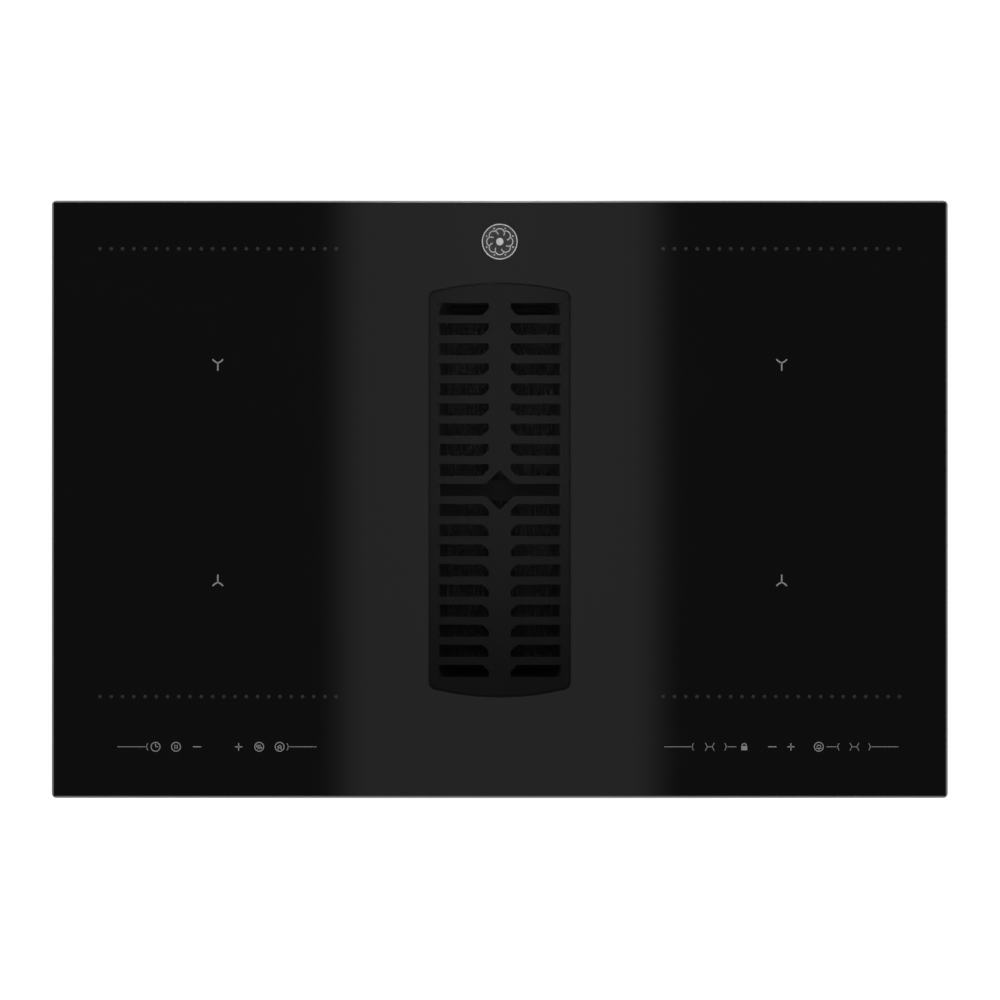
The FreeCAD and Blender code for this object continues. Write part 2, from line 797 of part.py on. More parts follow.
def split_screw_places():
    """Screws round the split flange: on the spiral and along the straight right wall."""
    offset = blower_wall + screw_head_radius + screw_clearance
    (first, first_radius), (second, second_radius), (third, third_radius) = scroll_centres()
    places = [on_circle(first, first_radius + offset, 100), on_circle(first, first_radius + offset, 160),
              on_circle(second, second_radius + offset, 215), on_circle(second, second_radius + offset, 255),
              on_circle(third, third_radius + offset, 295), on_circle(third, third_radius + offset, 340)]
    right_x = third.x + third_radius + offset
    places.append(Vector(right_x, (third.y + outlet_end_y) / 2, 0))
    return [(place.x, place.y) for place in places]


def split_flange_ring(z_low, z_high, boss_z):
    """Flange where the two halves of the blower meet, with a boss down to boss_z round each screw."""
    ring = scroll_block(blower_wall + split_flange, z_low, z_high)
    ring = ring.fuse([cylinder(split_boss_radius, x, y, boss_z, z_high) for x, y in split_screw_places()])
    ring = ring.cut(scroll_block(0, z_low - cut_overrun, z_high + cut_overrun))
    rear = block(glass_width, glass_depth, 0, outlet_end_y + glass_depth / 2, z_low - cut_overrun,
                 z_high + cut_overrun)
    holes = [cylinder(screw_radius + screw_clearance, x, y, boss_z - cut_overrun, z_high + cut_overrun)
             for x, y in split_screw_places()]
    return ring.cut([rear] + holes)


def make_blower_base():
    """Lower half of the scroll housing, which the unit stands on: its floor is dished up under the motor."""
    shell = scroll_block(blower_wall, 0, split_z)
    shell = shell.cut(scroll_block(0, blower_wall, split_z + cut_overrun))
    dish = cylinder(dish_radius + blower_wall, blower_x, blower_y, blower_wall / 2, mount_z)
    recess = cylinder(dish_radius, blower_x, blower_y, -cut_overrun, dish_rise)
    flange = split_flange_ring(split_z - split_flange_thickness, split_z, split_z - split_boss)
    return shell.fuse([dish, flange]).cut([recess, outlet_hole()])


def make_blower_cover():
    """Upper half of the scroll housing, with a round hole for the inlet ring."""
    shell = scroll_block(blower_wall, split_z, blower_top_z)
    shell = shell.cut(scroll_block(0, split_z - cut_overrun, blower_top_z - blower_wall))
    shell = shell.fuse(split_flange_ring(split_z, split_z + split_flange_thickness, split_z))
    mouth = cylinder(bell_outer_radius, blower_x, blower_y, split_z + split_flange_thickness,
                     blower_top_z + cut_overrun)
    return shell.cut([mouth, outlet_hole()])


def make_inlet_ring():
    """Bell mouth set in the cover: a flat flange and a quarter round turned down to the impeller's eye."""
    flange_x = bell_outer_radius + bell_flange
    centre_z = blower_top_z - bell_depth
    half_turn = math.sqrt(0.5)
    inner = bell_depth
    outer = bell_depth + bell_wall

    def at(reach, across, rise):
        return Vector(bell_outer_radius - reach * across, 0, centre_z + reach * rise)

    flange_top = Vector(flange_x, 0, blower_top_z + bell_wall)
    flange_under = Vector(flange_x, 0, blower_top_z)
    profile = [Part.LineSegment(flange_top, at(outer, 0, 1)).toShape(),
               Part.Arc(at(outer, 0, 1), at(outer, half_turn, half_turn), at(outer, 1, 0)).toShape(),
               Part.LineSegment(at(outer, 1, 0), at(inner, 1, 0)).toShape(),
               Part.Arc(at(inner, 1, 0), at(inner, half_turn, half_turn), at(inner, 0, 1)).toShape(),
               Part.LineSegment(at(inner, 0, 1), flange_under).toShape(),
               Part.LineSegment(flange_under, flange_top).toShape()]
    bell = Part.Face(Part.Wire(profile)).revolve(Vector(0, 0, 0), up, 360)
    bell.translate(Vector(blower_x, blower_y, 0))
    return Part.Solid(bell) if bell.ShapeType == "Shell" else bell


def make_spigot():
    """Rectangular duct spigot: a rim against the housing and a bead that the flat duct snaps over."""
    x = spigot_middle_x()

    def rounded_tube(width, height, radius, y_low, y_high):
        flat = rounded_block(width, height, radius, x, 0, 0, y_high - y_low)
        flat.rotate(Vector(0, 0, 0), Vector(1, 0, 0), -90)
        flat.translate(Vector(0, y_low, split_z))
        return flat

    tube = rounded_tube(spigot_width, spigot_height, spigot_corner_radius, outlet_end_y, spigot_rear_y)
    rim = rounded_tube(spigot_width + 2 * spigot_rim, spigot_height + 2 * spigot_rim,
                       spigot_corner_radius + spigot_rim, outlet_end_y, outlet_end_y + spigot_rim_thickness)
    bead_y = spigot_rear_y - spigot_bead_setback
    bead = rounded_tube(spigot_width + 2 * spigot_bead, spigot_height + 2 * spigot_bead,
                        spigot_corner_radius + spigot_bead, bead_y - spigot_bead_width, bead_y)
    bore = rounded_tube(spigot_width - 2 * spigot_wall, spigot_height - 2 * spigot_wall,
                        spigot_corner_radius - spigot_wall, outlet_end_y - cut_overrun,
                        spigot_rear_y + cut_overrun)
    return tube.fuse([rim, bead]).cut(bore)


def make_blade():
    """One forward-curved impeller blade: two like arcs a blade's thickness apart."""
    axis = Vector(blower_x, blower_y, 0)
    root_radius = impeller_radius - blade_depth
    root = on_circle(axis, root_radius, 0)
    tip = on_circle(axis, impeller_radius, blade_sweep)
    belly_angle = blade_sweep / 2 - math.degrees(blade_belly / (root_radius + blade_depth / 2))
    belly = on_circle(axis, root_radius + blade_depth / 2, belly_angle)
    front = Part.Arc(root, belly, tip).toShape()
    rear = turned(front, math.degrees(blade_thickness / root_radius), blower_x, blower_y)
    ends = [Part.LineSegment(front.Vertexes[i].Point, rear.Vertexes[i].Point).toShape() for i in (0, 1)]
    face = Part.Face(Part.Wire(Part.__sortEdges__([front, ends[1], rear, ends[0]])))
    face.translate(Vector(0, 0, blade_low_z))
    return face.extrude(Vector(0, 0, blade_top_z - blade_low_z))


def make_blades():
    """The crown of blades that stands on the impeller's disc."""
    blade = make_blade()
    return Part.makeCompound([turned(blade, i * 360 / blade_count, blower_x, blower_y)
                              for i in range(blade_count)])


def make_impeller_ring():
    """Front ring that ties the tips of the blades together."""
    ring = cylinder(impeller_radius, blower_x, blower_y, blade_top_z, impeller_top_z)
    return ring.cut(cylinder(impeller_radius - blade_depth, blower_x, blower_y, impeller_z,
                             impeller_top_z + cut_overrun))


def make_impeller():
    """Back disc of the impeller, with a cup over the motor and a boss for the shaft."""
    x, y = blower_x, blower_y
    disc = cylinder(impeller_radius, x, y, impeller_z, blade_low_z)
    cup = cylinder(cup_radius, x, y, impeller_z, cup_top_z)
    boss = cylinder(boss_radius, x, y, boss_under_z, cup_top_z)
    hollow = cylinder(cup_radius - cup_wall, x, y, impeller_z - cut_overrun, cup_top_z - cup_wall)
    hub = disc.fuse(cup).cut(hollow).fuse(boss)
    return hub.cut(cylinder(shaft_radius, x, y, impeller_z, cup_top_z + cut_overrun))


def stator_levels():
    """Underside of the motor base, top of the base and top of the stator core."""
    base_z = mount_z + mount_height
    return base_z, base_z + motor_base, boss_under_z - motor_top_gap


def make_motor_stator():
    """Motor base plate and stator core, with the bearing bore for the shaft."""
    base_z, core_z, top_z = stator_levels()
    body = cylinder(motor_base_radius, blower_x, blower_y, base_z, core_z)
    body = body.fuse(cylinder(motor_core_radius, blower_x, blower_y, core_z, top_z))
    return body.cut(cylinder(shaft_radius + shaft_clearance, blower_x, blower_y, core_z, top_z + cut_overrun))


def make_motor_shaft():
    """Steel shaft, fixed in the impeller's boss and running in the stator."""
    core_z = stator_levels()[1]
    return cylinder(shaft_radius, blower_x, blower_y, core_z + shaft_radius, cup_top_z)


def make_motor_mounts():
    """Rubber bushes between the motor base and the floor of the housing."""
    mounts = []
    for i in range(mount_count):
        place = on_circle(Vector(blower_x, blower_y, 0), motor_base_radius - mount_radius,
                          i * 360 / mount_count)
        mounts.append(cylinder(mount_radius, place.x, place.y, mount_z, mount_z + mount_height))
    return Part.makeCompound(mounts)


def coil_plan(margin, x, y, z_low, z_high):
    """Plan of a coil, grown by a margin, with its eye."""
    outer = rounded_block(coil_width + 2 * margin, coil_length + 2 * margin, coil_corner_radius + margin,
                          x, y, z_low, z_high)
    eye = rounded_block(coil_eye, coil_eye, coil_eye_radius, x, y, z_low - cut_overrun, z_high + cut_overrun)
    return outer.cut(eye)


def make_ferrites(x, y):
    """Ferrite bars that fan out under a coil."""
    bars = []
    middle = ferrite_start + ferrite_length / 2
    for i in range(ferrite_count):
        bar = block(ferrite_length, ferrite_width, x + middle, y, ferrite_z, former_z)
        bars.append(turned(bar, (i + 0.5) * 360 / ferrite_count, x, y))
    return bars


def make_carrier(side):
    """Aluminium sheet that holds two coils, on folded legs that stand on the casing's floor."""
    x = side * coil_x
    low_y = coil_front_y - coil_length / 2 - carrier_margin
    high_y = coil_rear_y + coil_length / 2 + carrier_margin
    width = coil_width + 2 * carrier_margin
    plate = block(width, high_y - low_y, x, (low_y + high_y) / 2, carrier_z, ferrite_z)
    legs = []
    for leg_x in (x - width / 2 + carrier_leg / 2, x + width / 2 - carrier_leg / 2):
        for leg_y in (low_y + carrier_sheet / 2, high_y - carrier_sheet / 2):
            legs.append(block(carrier_leg, carrier_sheet, leg_x, leg_y, casing_floor_z, carrier_z))
    wells = [cylinder(sensor_radius, x, y, carrier_z - cut_overrun, ferrite_z + cut_overrun)
             for y in (coil_rear_y, coil_front_y)]
    return plate.fuse(legs).cut(wells)


def make_power_board(side):
    """Power board with its storage capacitors and a filter choke soldered on."""
    x = side * coil_x
    board = rounded_block(board_width, board_length, board_corner_radius, x, board_y, board_z, board_top_z)
    parts = []
    row_x = x - side * board_width / 4
    for i in (-1, 0, 1):
        y = board_y + i * 3 * capacitor_radius
        parts.append(cylinder(capacitor_radius, row_x, y, board_top_z, board_top_z + capacitor_height))
    choke = cylinder(choke_radius, row_x, board_y + board_length / 3, board_top_z, board_top_z + choke_height)
    core = cylinder(choke_radius / 2, row_x, board_y + board_length / 3, board_top_z, casing_top_z)
    return board.fuse(parts + [choke.cut(core)])


def make_heat_sink(side):
    """Extruded aluminium heat sink on the power board."""
    x = side * (coil_x + board_width / 5)
    base_top = board_top_z + sink_base
    sink = block(sink_width, sink_length, x, board_y, board_top_z, base_top)
    fins = []
    for i in range(sink_fins):
        fin_x = x - sink_width / 2 + sink_fin / 2 + i * (sink_width - sink_fin) / (sink_fins - 1)
        fins.append(block(sink_fin, sink_length, fin_x, board_y, base_top, board_top_z + sink_height))
    return sink.fuse(fins)


def make_fan_frame(side):
    """Square fan frame on the casing's floor, with struts to a bearing pin in the middle."""
    x = side * coil_x
    top_z = casing_floor_z + fan_height
    frame = rounded_block(fan_size, fan_size, fan_floor, x, fan_y, casing_floor_z, top_z)
    frame = frame.cut(cylinder(fan_bore_radius, x, fan_y, casing_floor_z - cut_overrun, top_z + cut_overrun))
    floor_top = casing_floor_z + fan_floor
    struts = [block(2 * fan_bore_radius + fan_floor, fan_strut, x, fan_y, casing_floor_z, floor_top),
              block(fan_strut, 2 * fan_bore_radius + fan_floor, x, fan_y, casing_floor_z, floor_top),
              cylinder(fan_hub_radius, x, fan_y, casing_floor_z, floor_top),
              cylinder(fan_pin_radius, x, fan_y, casing_floor_z, top_z - fan_floor)]
    return frame.fuse(struts)


def make_fan_rotor(side):
    """Fan rotor: a hub on the pin and pitched blades."""
    x = side * coil_x
    low = casing_floor_z + fan_floor + fan_tip_gap
    high = casing_floor_z + fan_height - fan_tip_gap
    tip_radius = fan_bore_radius - fan_tip_gap
    hub = cylinder(fan_hub_radius, x, fan_y, low, high)
    reach = tip_radius + fan_floor
    blade = Part.makeBox(reach, fan_blade_chord, fan_blade_thickness,
                         Vector(0, -fan_blade_chord / 2, -fan_blade_thickness / 2))
    blade.rotate(Vector(0, 0, 0), Vector(1, 0, 0), fan_blade_pitch)
    blade.translate(Vector(x, fan_y, (low + high) / 2))
    blade = blade.common(cylinder(tip_radius, x, fan_y, low, high))
    blades = [turned(blade, i * 360 / fan_blades, x, fan_y) for i in range(fan_blades)]
    rotor = hub.fuse(blades)
    return rotor.cut(cylinder(fan_pin_radius + shaft_clearance, x, fan_y, low - cut_overrun,
                              high + cut_overrun))


def make_touch_board(side):
    """Touch control board on the casing's shelf, with a pad that presses its keys to the glass."""
    x = side * coil_x
    board = block(touch_length, touch_depth, x, touch_y, touch_z, touch_z + board_thickness)
    return board.fuse(block(touch_pad_length, touch_pad_depth, x, touch_y, touch_z + board_thickness,
                            glass_under_z))


def make_terminal_box():
    """Open moulded box with two ears, screwed under the casing, for the mains terminals."""
    outer = rounded_block(terminal_width, terminal_length, terminal_corner_radius, terminal_x, terminal_y,
                          terminal_under_z, casing_under_z)
    inner = rounded_block(terminal_width - 2 * terminal_wall, terminal_length - 2 * terminal_wall,
                          terminal_corner_radius - terminal_wall, terminal_x, terminal_y,
                          terminal_under_z + terminal_wall, casing_under_z + cut_overrun)
    ears = block(terminal_width + 2 * terminal_ear, terminal_ear_length, terminal_x, terminal_y,
                 casing_under_z - terminal_wall, casing_under_z)
    screw_holes = [cylinder(screw_radius + screw_clearance, x, y,
                            casing_under_z - terminal_wall - cut_overrun, casing_under_z + cut_overrun)
                   for x, y in terminal_screw_places()]
    rear_y = terminal_y + terminal_length / 2
    hole = Part.makeCylinder(gland_radius + gland_clearance, 2 * terminal_wall + cut_overrun,
                             Vector(terminal_x, rear_y - 2 * terminal_wall, gland_z()), Vector(0, 1, 0))
    return outer.fuse(ears).cut([inner, hole] + screw_holes)


def terminal_screw_places():
    """Screws through the ears of the terminal box."""
    reach = terminal_width / 2 + terminal_ear / 2
    return [(terminal_x - reach, terminal_y), (terminal_x + reach, terminal_y)]


def gland_z():
    """Height of the cable inlet: the middle of the terminal box."""
    return casing_under_z - terminal_height / 2


def make_cable_gland():
    """Cable gland: a hexagon against the box's rear wall, a nose outside and a tail through the wall."""
    rear_y = terminal_y + terminal_length / 2
    start = rear_y - terminal_wall - gland_tail
    end = rear_y + gland_hex + gland_nose
    back = Vector(0, 1, 0)
    tail = Part.makeCylinder(gland_radius, end - start, Vector(terminal_x, start, gland_z()), back)
    corners = []
    for i in range(7):
        angle = math.radians(60 * i)
        corners.append(Vector(terminal_x + gland_hex_radius * math.cos(angle), rear_y,
                              gland_z() + gland_hex_radius * math.sin(angle)))
    hexagon = Part.Face(Part.makePolygon(corners)).extrude(Vector(0, gland_hex, 0))
    bore = Part.makeCylinder(gland_bore_radius, end - start + 2 * cut_overrun,
                             Vector(terminal_x, start - cut_overrun, gland_z()), back)
    return tail.fuse(hexagon).cut(bore)


def make_terminal_block():
    """Terminal block on the floor of the box, with a screw well for each pole."""
    low = terminal_under_z + terminal_wall
    y = terminal_y - terminal_length / 2 + terminal_wall + terminal_block_length
    body = block(terminal_block_width, terminal_block_length, terminal_x, y, low, low + terminal_block_height)
    pitch = terminal_block_width / terminal_poles
    wells = []
    for i in range(terminal_poles):
        x = terminal_x - terminal_block_width / 2 + (i + 0.5) * pitch
        wells.append(cylinder(terminal_pole_radius, x, y, low + terminal_block_height / 2,
                              low + terminal_block_height + cut_overrun))
    return body.cut(wells)


def make_clamps():
    """Bowed spring-steel clamps on the casing's sides, which grip the edge of the worktop cut-out."""
    clamps = []
    high_z = casing_top_z - casing_sheet - clamp_drop
    low_z = high_z - clamp_length
    middle_z = (high_z + low_z) / 2
    for side in (-1, 1):
        wall_x = side * casing_width / 2
        sheet_x = wall_x + side * clamp_sheet
        for y in (-clamp_y, clamp_y):
            inner = Part.Arc(Vector(wall_x, y, low_z + clamp_sheet),
                             Vector(wall_x + side * clamp_bow, y, middle_z),
                             Vector(wall_x, y, high_z - clamp_sheet)).toShape()
            outer = Part.Arc(Vector(wall_x, y, low_z),
                             Vector(sheet_x + side * clamp_bow, y, middle_z),
                             Vector(wall_x, y, high_z)).toShape()
            ends = [Part.LineSegment(inner.Vertexes[i].Point, outer.Vertexes[i].Point).toShape()
                    for i in (0, 1)]
            face = Part.Face(Part.Wire(Part.__sortEdges__([inner, ends[1], outer, ends[0]])))
            leaf = face.extrude(Vector(0, clamp_width, 0))
            leaf.translate(Vector(0, -clamp_width / 2, 0))
            clamps.append(leaf)
    return Part.makeCompound(clamps)


def make_screw(x, y, seat_z, direction):
    """Pan-head screw: the head on the seat, on the side that direction names, and the shank through it."""
    head = cylinder(screw_head_radius, x, y, seat_z, seat_z + screw_head)
    shank = cylinder(screw_radius, x, y, seat_z - screw_length, seat_z)
    screw = head.fuse(shank)
    if direction < 0:
        screw.rotate(Vector(x, y, seat_z), Vector(1, 0, 0), 180)
    return screw


def make_housing_screws():
    """Screws through the blower's split flange, from above, and the sump's flange, from below."""
    seat = split_z + split_flange_thickness
    screws = [make_screw(x, y, seat, 1) for x, y in split_screw_places()]
    screws += [make_screw(x, y, sump_height - sump_flange_thickness, -1) for x, y in sump_screw_places()]
    return Part.makeCompound(screws)


def make_hanger_screws():
    """Screws that hold the suction box and the terminal box up to the casing, driven from below."""
    screws = [make_screw(x, y, hanger_under_z, -1) for x, y in hanger_screw_places()]
    screws += [make_screw(x, y, casing_under_z - terminal_wall, -1) for x, y in terminal_screw_places()]
    return Part.makeCompound(screws)


os.makedirs("parts", exist_ok=True)

save("glass_top", make_glass())
save("glass_seal", make_ring(glass_width - 2 * seal_inset, glass_depth - 2 * seal_inset, seal_width,
                             glass_corner_radius, glass_under_z - seal_thickness, glass_under_z))
save("glass_adhesive", make_ring(casing_width + casing_flange + bead_width,
                                 casing_depth + casing_flange + bead_width, bead_width,
                                 casing_corner_radius, casing_top_z, glass_under_z))
save("grille", make_grille())
save("inlet_collar", make_collar())
save("inlet_seal", make_collar_seal())
save("suction_box", make_suction_box())
save("sump_box", make_sump())
save("casing", make_casing())
save("filter_frame", make_filter_frame())
save("filter_mesh", make_filter_mesh())
save("filter_grip", make_filter_grip())
save("drip_tray", make_drip_tray())
save("suction_duct", make_duct())
save("blower_base", make_blower_base())
save("blower_cover", make_blower_cover())
save("inlet_ring", make_inlet_ring())
save("outlet_spigot", make_spigot())
save("impeller", make_impeller())
save("impeller_blades", make_blades())
save("impeller_ring", make_impeller_ring())
save("motor_stator", make_motor_stator())
save("motor_shaft", make_motor_shaft())
save("motor_mounts", make_motor_mounts())
save("terminal_box", make_terminal_box())
save("terminal_block", make_terminal_block())
save("cable_gland", make_cable_gland())
save("worktop_clamps", make_clamps())
save("housing_screws", make_housing_screws())
save("hanger_screws", make_hanger_screws())
for side, name in ((-1, "left"), (1, "right")):
    ferrites = []
    sensors = []
    for place, y in (("rear", coil_rear_y), ("front", coil_front_y)):
        x = side * coil_x
        spot = place + "_" + name
        save("coil_" + spot, coil_plan(0, x, y, coil_z, mica_z))
        save("coil_former_" + spot, coil_plan(mica_margin, x, y, former_z, coil_z))
        save("coil_mica_" + spot, coil_plan(mica_margin, x, y, mica_z, glass_under_z))
        ferrites.extend(make_ferrites(x, y))
        sensors.append(cylinder(sensor_radius, x, y, carrier_z, glass_under_z))
    save("ferrite_bars_" + name, Part.makeCompound(ferrites))
    save("coil_sensors_" + name, Part.makeCompound(sensors))
    save("coil_carrier_" + name, make_carrier(side))
    save("power_board_" + name, make_power_board(side))
    save("heat_sink_" + name, make_heat_sink(side))
    save("fan_frame_" + name, make_fan_frame(side))
    save("fan_rotor_" + name, make_fan_rotor(side))
    save("touch_board_" + name, make_touch_board(side))
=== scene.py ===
import math

import bmesh
import bpy
from mathutils import Matrix, Vector


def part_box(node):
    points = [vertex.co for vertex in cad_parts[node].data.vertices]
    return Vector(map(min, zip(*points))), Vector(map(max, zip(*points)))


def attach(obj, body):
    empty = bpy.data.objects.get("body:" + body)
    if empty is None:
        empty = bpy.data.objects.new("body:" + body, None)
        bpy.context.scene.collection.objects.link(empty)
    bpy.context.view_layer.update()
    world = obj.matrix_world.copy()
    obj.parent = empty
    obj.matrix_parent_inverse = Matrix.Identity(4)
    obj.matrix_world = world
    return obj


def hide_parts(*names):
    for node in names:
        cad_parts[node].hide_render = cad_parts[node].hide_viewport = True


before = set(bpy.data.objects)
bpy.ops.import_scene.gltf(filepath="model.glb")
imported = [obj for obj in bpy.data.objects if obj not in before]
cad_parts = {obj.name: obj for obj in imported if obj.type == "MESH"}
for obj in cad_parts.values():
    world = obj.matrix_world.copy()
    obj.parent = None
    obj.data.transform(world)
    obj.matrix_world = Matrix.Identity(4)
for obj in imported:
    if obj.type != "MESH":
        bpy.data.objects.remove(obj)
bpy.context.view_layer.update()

# Air path housings from inlet collar to duct spigot, with the drip tray, the fan frames and the terminal
# box. They are injection moulded in black talc-filled polypropylene with a spark-eroded grain, and
# screwed together under the casing.


def linear(colour):
    """An sRGB hex colour as linear RGBA."""
    shares = [int(colour[i:i + 2], 16) / 255 for i in (1, 3, 5)]
    return [s / 12.92 if s <= 0.04045 else ((s + 0.055) / 1.055) ** 2.4 for s in shares] + [1.0]


def new_material(name):
    """An empty node material."""
    material = bpy.data.materials.new(name)
    material.use_nodes = True
    material.node_tree.nodes.clear()
    return material


def add(material, kind, sockets=None, **settings):
    """Add a shader node with its settings, and give its sockets values or links."""
    made = material.node_tree.nodes.new("ShaderNode" + kind)
    for name, value in settings.items():
        setattr(made, name, value)
    for name, value in (sockets or {}).items():
        if isinstance(value, bpy.types.NodeSocket):
            material.node_tree.links.new(value, made.inputs[name])
        else:
            made.inputs[name].default_value = value
    return made


def dress(material, *names):
    """Give CAD nodes their finish."""
    for name in names:
        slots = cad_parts[name].data.materials
        slots.clear()
        slots.append(material)


# The grain breaks the sheen into a soft matt, and slow drift in the melt shows as paler patches. The grain
# is drawn coarser than it is, so that it shows.
polypropylene = new_material("black_moulded_polypropylene")
grain_mm = 1.1
melt_drift_mm = 55
place = add(polypropylene, "TexCoord").outputs["Object"]
grain = add(polypropylene, "TexNoise", {"Vector": place, "Scale": 1000 / grain_mm, "Detail": 2.0})
drift = add(polypropylene, "TexNoise", {"Vector": place, "Scale": 1000 / melt_drift_mm, "Detail": 3.0})
shade = add(polypropylene, "Mix", {0: drift.outputs["Fac"], 6: linear("#111112"), 7: linear("#1a1a1b")},
            data_type="RGBA")
gloss = add(polypropylene, "MapRange", {"Value": drift.outputs["Fac"], "To Min": 0.38, "To Max": 0.56})
relief = add(polypropylene, "Bump", {"Strength": 0.35, "Distance": 0.0002, "Height": grain.outputs["Fac"]})
body = add(polypropylene, "BsdfPrincipled", {"Base Color": shade.outputs[2], "Roughness": gloss.outputs[0],
                                             "IOR": 1.49, "Normal": relief.outputs[0]})
add(polypropylene, "OutputMaterial", {"Surface": body.outputs[0]})
dress(polypropylene, "suction_box", "sump_box", "suction_duct", "blower_base", "blower_cover", "inlet_ring",
      "outlet_spigot", "inlet_collar", "drip_tray", "fan_frame_left", "fan_frame_right", "terminal_box")

# Impeller, cooling rotors, terminal block and gland: moulded in glass-filled nylon, a shade paler and
# glossier than the housings. The flow of the fibres shows faintly, and is drawn coarser than it is.
nylon = new_material("glass_filled_nylon")
fibre_mm = 3.0
place = add(nylon, "TexCoord").outputs["Object"]
drawn = add(nylon, "Mapping", {"Vector": place, "Scale": (1.0, 1.0, 0.15)})
fibre = add(nylon, "TexNoise", {"Vector": drawn.outputs[0], "Scale": 1000 / fibre_mm, "Detail": 4.0})
shade = add(nylon, "Mix", {0: fibre.outputs["Fac"], 6: linear("#26272a"), 7: linear("#3c3d40")},
            data_type="RGBA")
relief = add(nylon, "Bump", {"Strength": 0.2, "Distance": 0.0001, "Height": fibre.outputs["Fac"]})
body = add(nylon, "BsdfPrincipled", {"Base Color": shade.outputs[2], "Roughness": 0.36, "IOR": 1.53,
                                     "Normal": relief.outputs[0]})
add(nylon, "OutputMaterial", {"Surface": body.outputs[0]})
dress(nylon, "impeller", "impeller_blades", "impeller_ring", "fan_rotor_left", "fan_rotor_right",
      "terminal_block", "cable_gland")

# Screws, motor core and shaft: steel turned or stacked from laminations, then zinc plated and blue
# passivated, which leaves a cool bright grey with a cloudy bloom.
zinc = new_material("zinc_plated_steel")
bloom_mm = 4.0
place = add(zinc, "TexCoord").outputs["Object"]
bloom = add(zinc, "TexNoise", {"Vector": place, "Scale": 1000 / bloom_mm, "Detail": 3.0})
shade = add(zinc, "Mix", {0: bloom.outputs["Fac"], 6: linear("#a8adb6"), 7: linear("#cdd0d3")},
            data_type="RGBA")
gloss = add(zinc, "MapRange", {"Value": bloom.outputs["Fac"], "To Min": 0.24, "To Max": 0.42})
body = add(zinc, "BsdfPrincipled", {"Base Color": shade.outputs[2], "Roughness": gloss.outputs[0],
                                    "Metallic": 1.0})
add(zinc, "OutputMaterial", {"Surface": body.outputs[0]})
dress(zinc, "housing_screws", "hanger_screws", "motor_stator", "motor_shaft")

# Motor mounts: pressed nitrile rubber bushes that keep the motor's hum out of the housing. The bloom
# of the cure leaves them a dusty black.
nitrile = new_material("nitrile_rubber")
dust_mm = 2.0
place = add(nitrile, "TexCoord").outputs["Object"]
dust = add(nitrile, "TexNoise", {"Vector": place, "Scale": 1000 / dust_mm, "Detail": 5.0})
shade = add(nitrile, "Mix", {0: dust.outputs["Fac"], 6: linear("#161616"), 7: linear("#2b2b2a")},
            data_type="RGBA")
body = add(nitrile, "BsdfPrincipled", {"Base Color": shade.outputs[2], "Roughness": 0.72, "IOR": 1.52})
add(nitrile, "OutputMaterial", {"Surface": body.outputs[0]})
dress(nitrile, "motor_mounts")

# Casing: a tray folded from hot-dip galvanised sheet, spot welded at the corners. The zinc froze in
# flat crystals, each of which throws the light a little differently. The lines of the rolls are drawn
# coarser than they are.
galvanised = new_material("galvanised_sheet_steel")
spangle_mm = 5.0
rolling_mm = 1.6
place = add(galvanised, "TexCoord").outputs["Object"]
spangle = add(galvanised, "TexVoronoi", {"Vector": place, "Scale": 1000 / spangle_mm, "Randomness": 1.0})
crystal = add(galvanised, "SeparateColor", {"Color": spangle.outputs["Color"]})
rolled = add(galvanised, "Mapping", {"Vector": place, "Scale": (0.06, 1.0, 1.0)})
rolling = add(galvanised, "TexNoise", {"Vector": rolled.outputs[0], "Scale": 1000 / rolling_mm,
                                       "Detail": 2.0})
shade = add(galvanised, "Mix", {0: crystal.outputs[0], 6: linear("#aeb2b4"), 7: linear("#bec1c3")},
            data_type="RGBA")
gloss = add(galvanised, "MapRange", {"Value": crystal.outputs[1], "To Min": 0.34, "To Max": 0.44})
relief = add(galvanised, "Bump", {"Strength": 0.12, "Distance": 0.0001, "Height": rolling.outputs["Fac"]})
body = add(galvanised, "BsdfPrincipled", {"Base Color": shade.outputs[2], "Roughness": gloss.outputs[0],
                                          "Metallic": 1.0, "Normal": relief.outputs[0]})
add(galvanised, "OutputMaterial", {"Surface": body.outputs[0]})
dress(galvanised, "casing")

# Worktop clamps: stainless spring strip with a brushed finish, bowed and spot welded to the casing.
# The fine lines run the length of the strip and stretch every highlight across them. They are drawn
# coarser than they are, so that they show.
stainless = new_material("brushed_stainless_steel")
brush_mm = 0.9
place = add(stainless, "TexCoord").outputs["Object"]
drawn = add(stainless, "Mapping", {"Vector": place, "Scale": (1.0, 0.02, 1.0)})
brush = add(stainless, "TexNoise", {"Vector": drawn.outputs[0], "Scale": 1000 / brush_mm, "Detail": 3.0})
shade = add(stainless, "Mix", {0: brush.outputs["Fac"], 6: linear("#a5a5a3"), 7: linear("#c9c8c5")},
            data_type="RGBA")
gloss = add(stainless, "MapRange", {"Value": brush.outputs["Fac"], "To Min": 0.22, "To Max": 0.4})
relief = add(stainless, "Bump", {"Strength": 0.15, "Distance": 0.0001, "Height": brush.outputs["Fac"]})
body = add(stainless, "BsdfPrincipled", {"Base Color": shade.outputs[2], "Roughness": gloss.outputs[0],
                                         "Metallic": 1.0, "Normal": relief.outputs[0]})
add(stainless, "OutputMaterial", {"Surface": body.outputs[0]})
dress(stainless, "worktop_clamps")

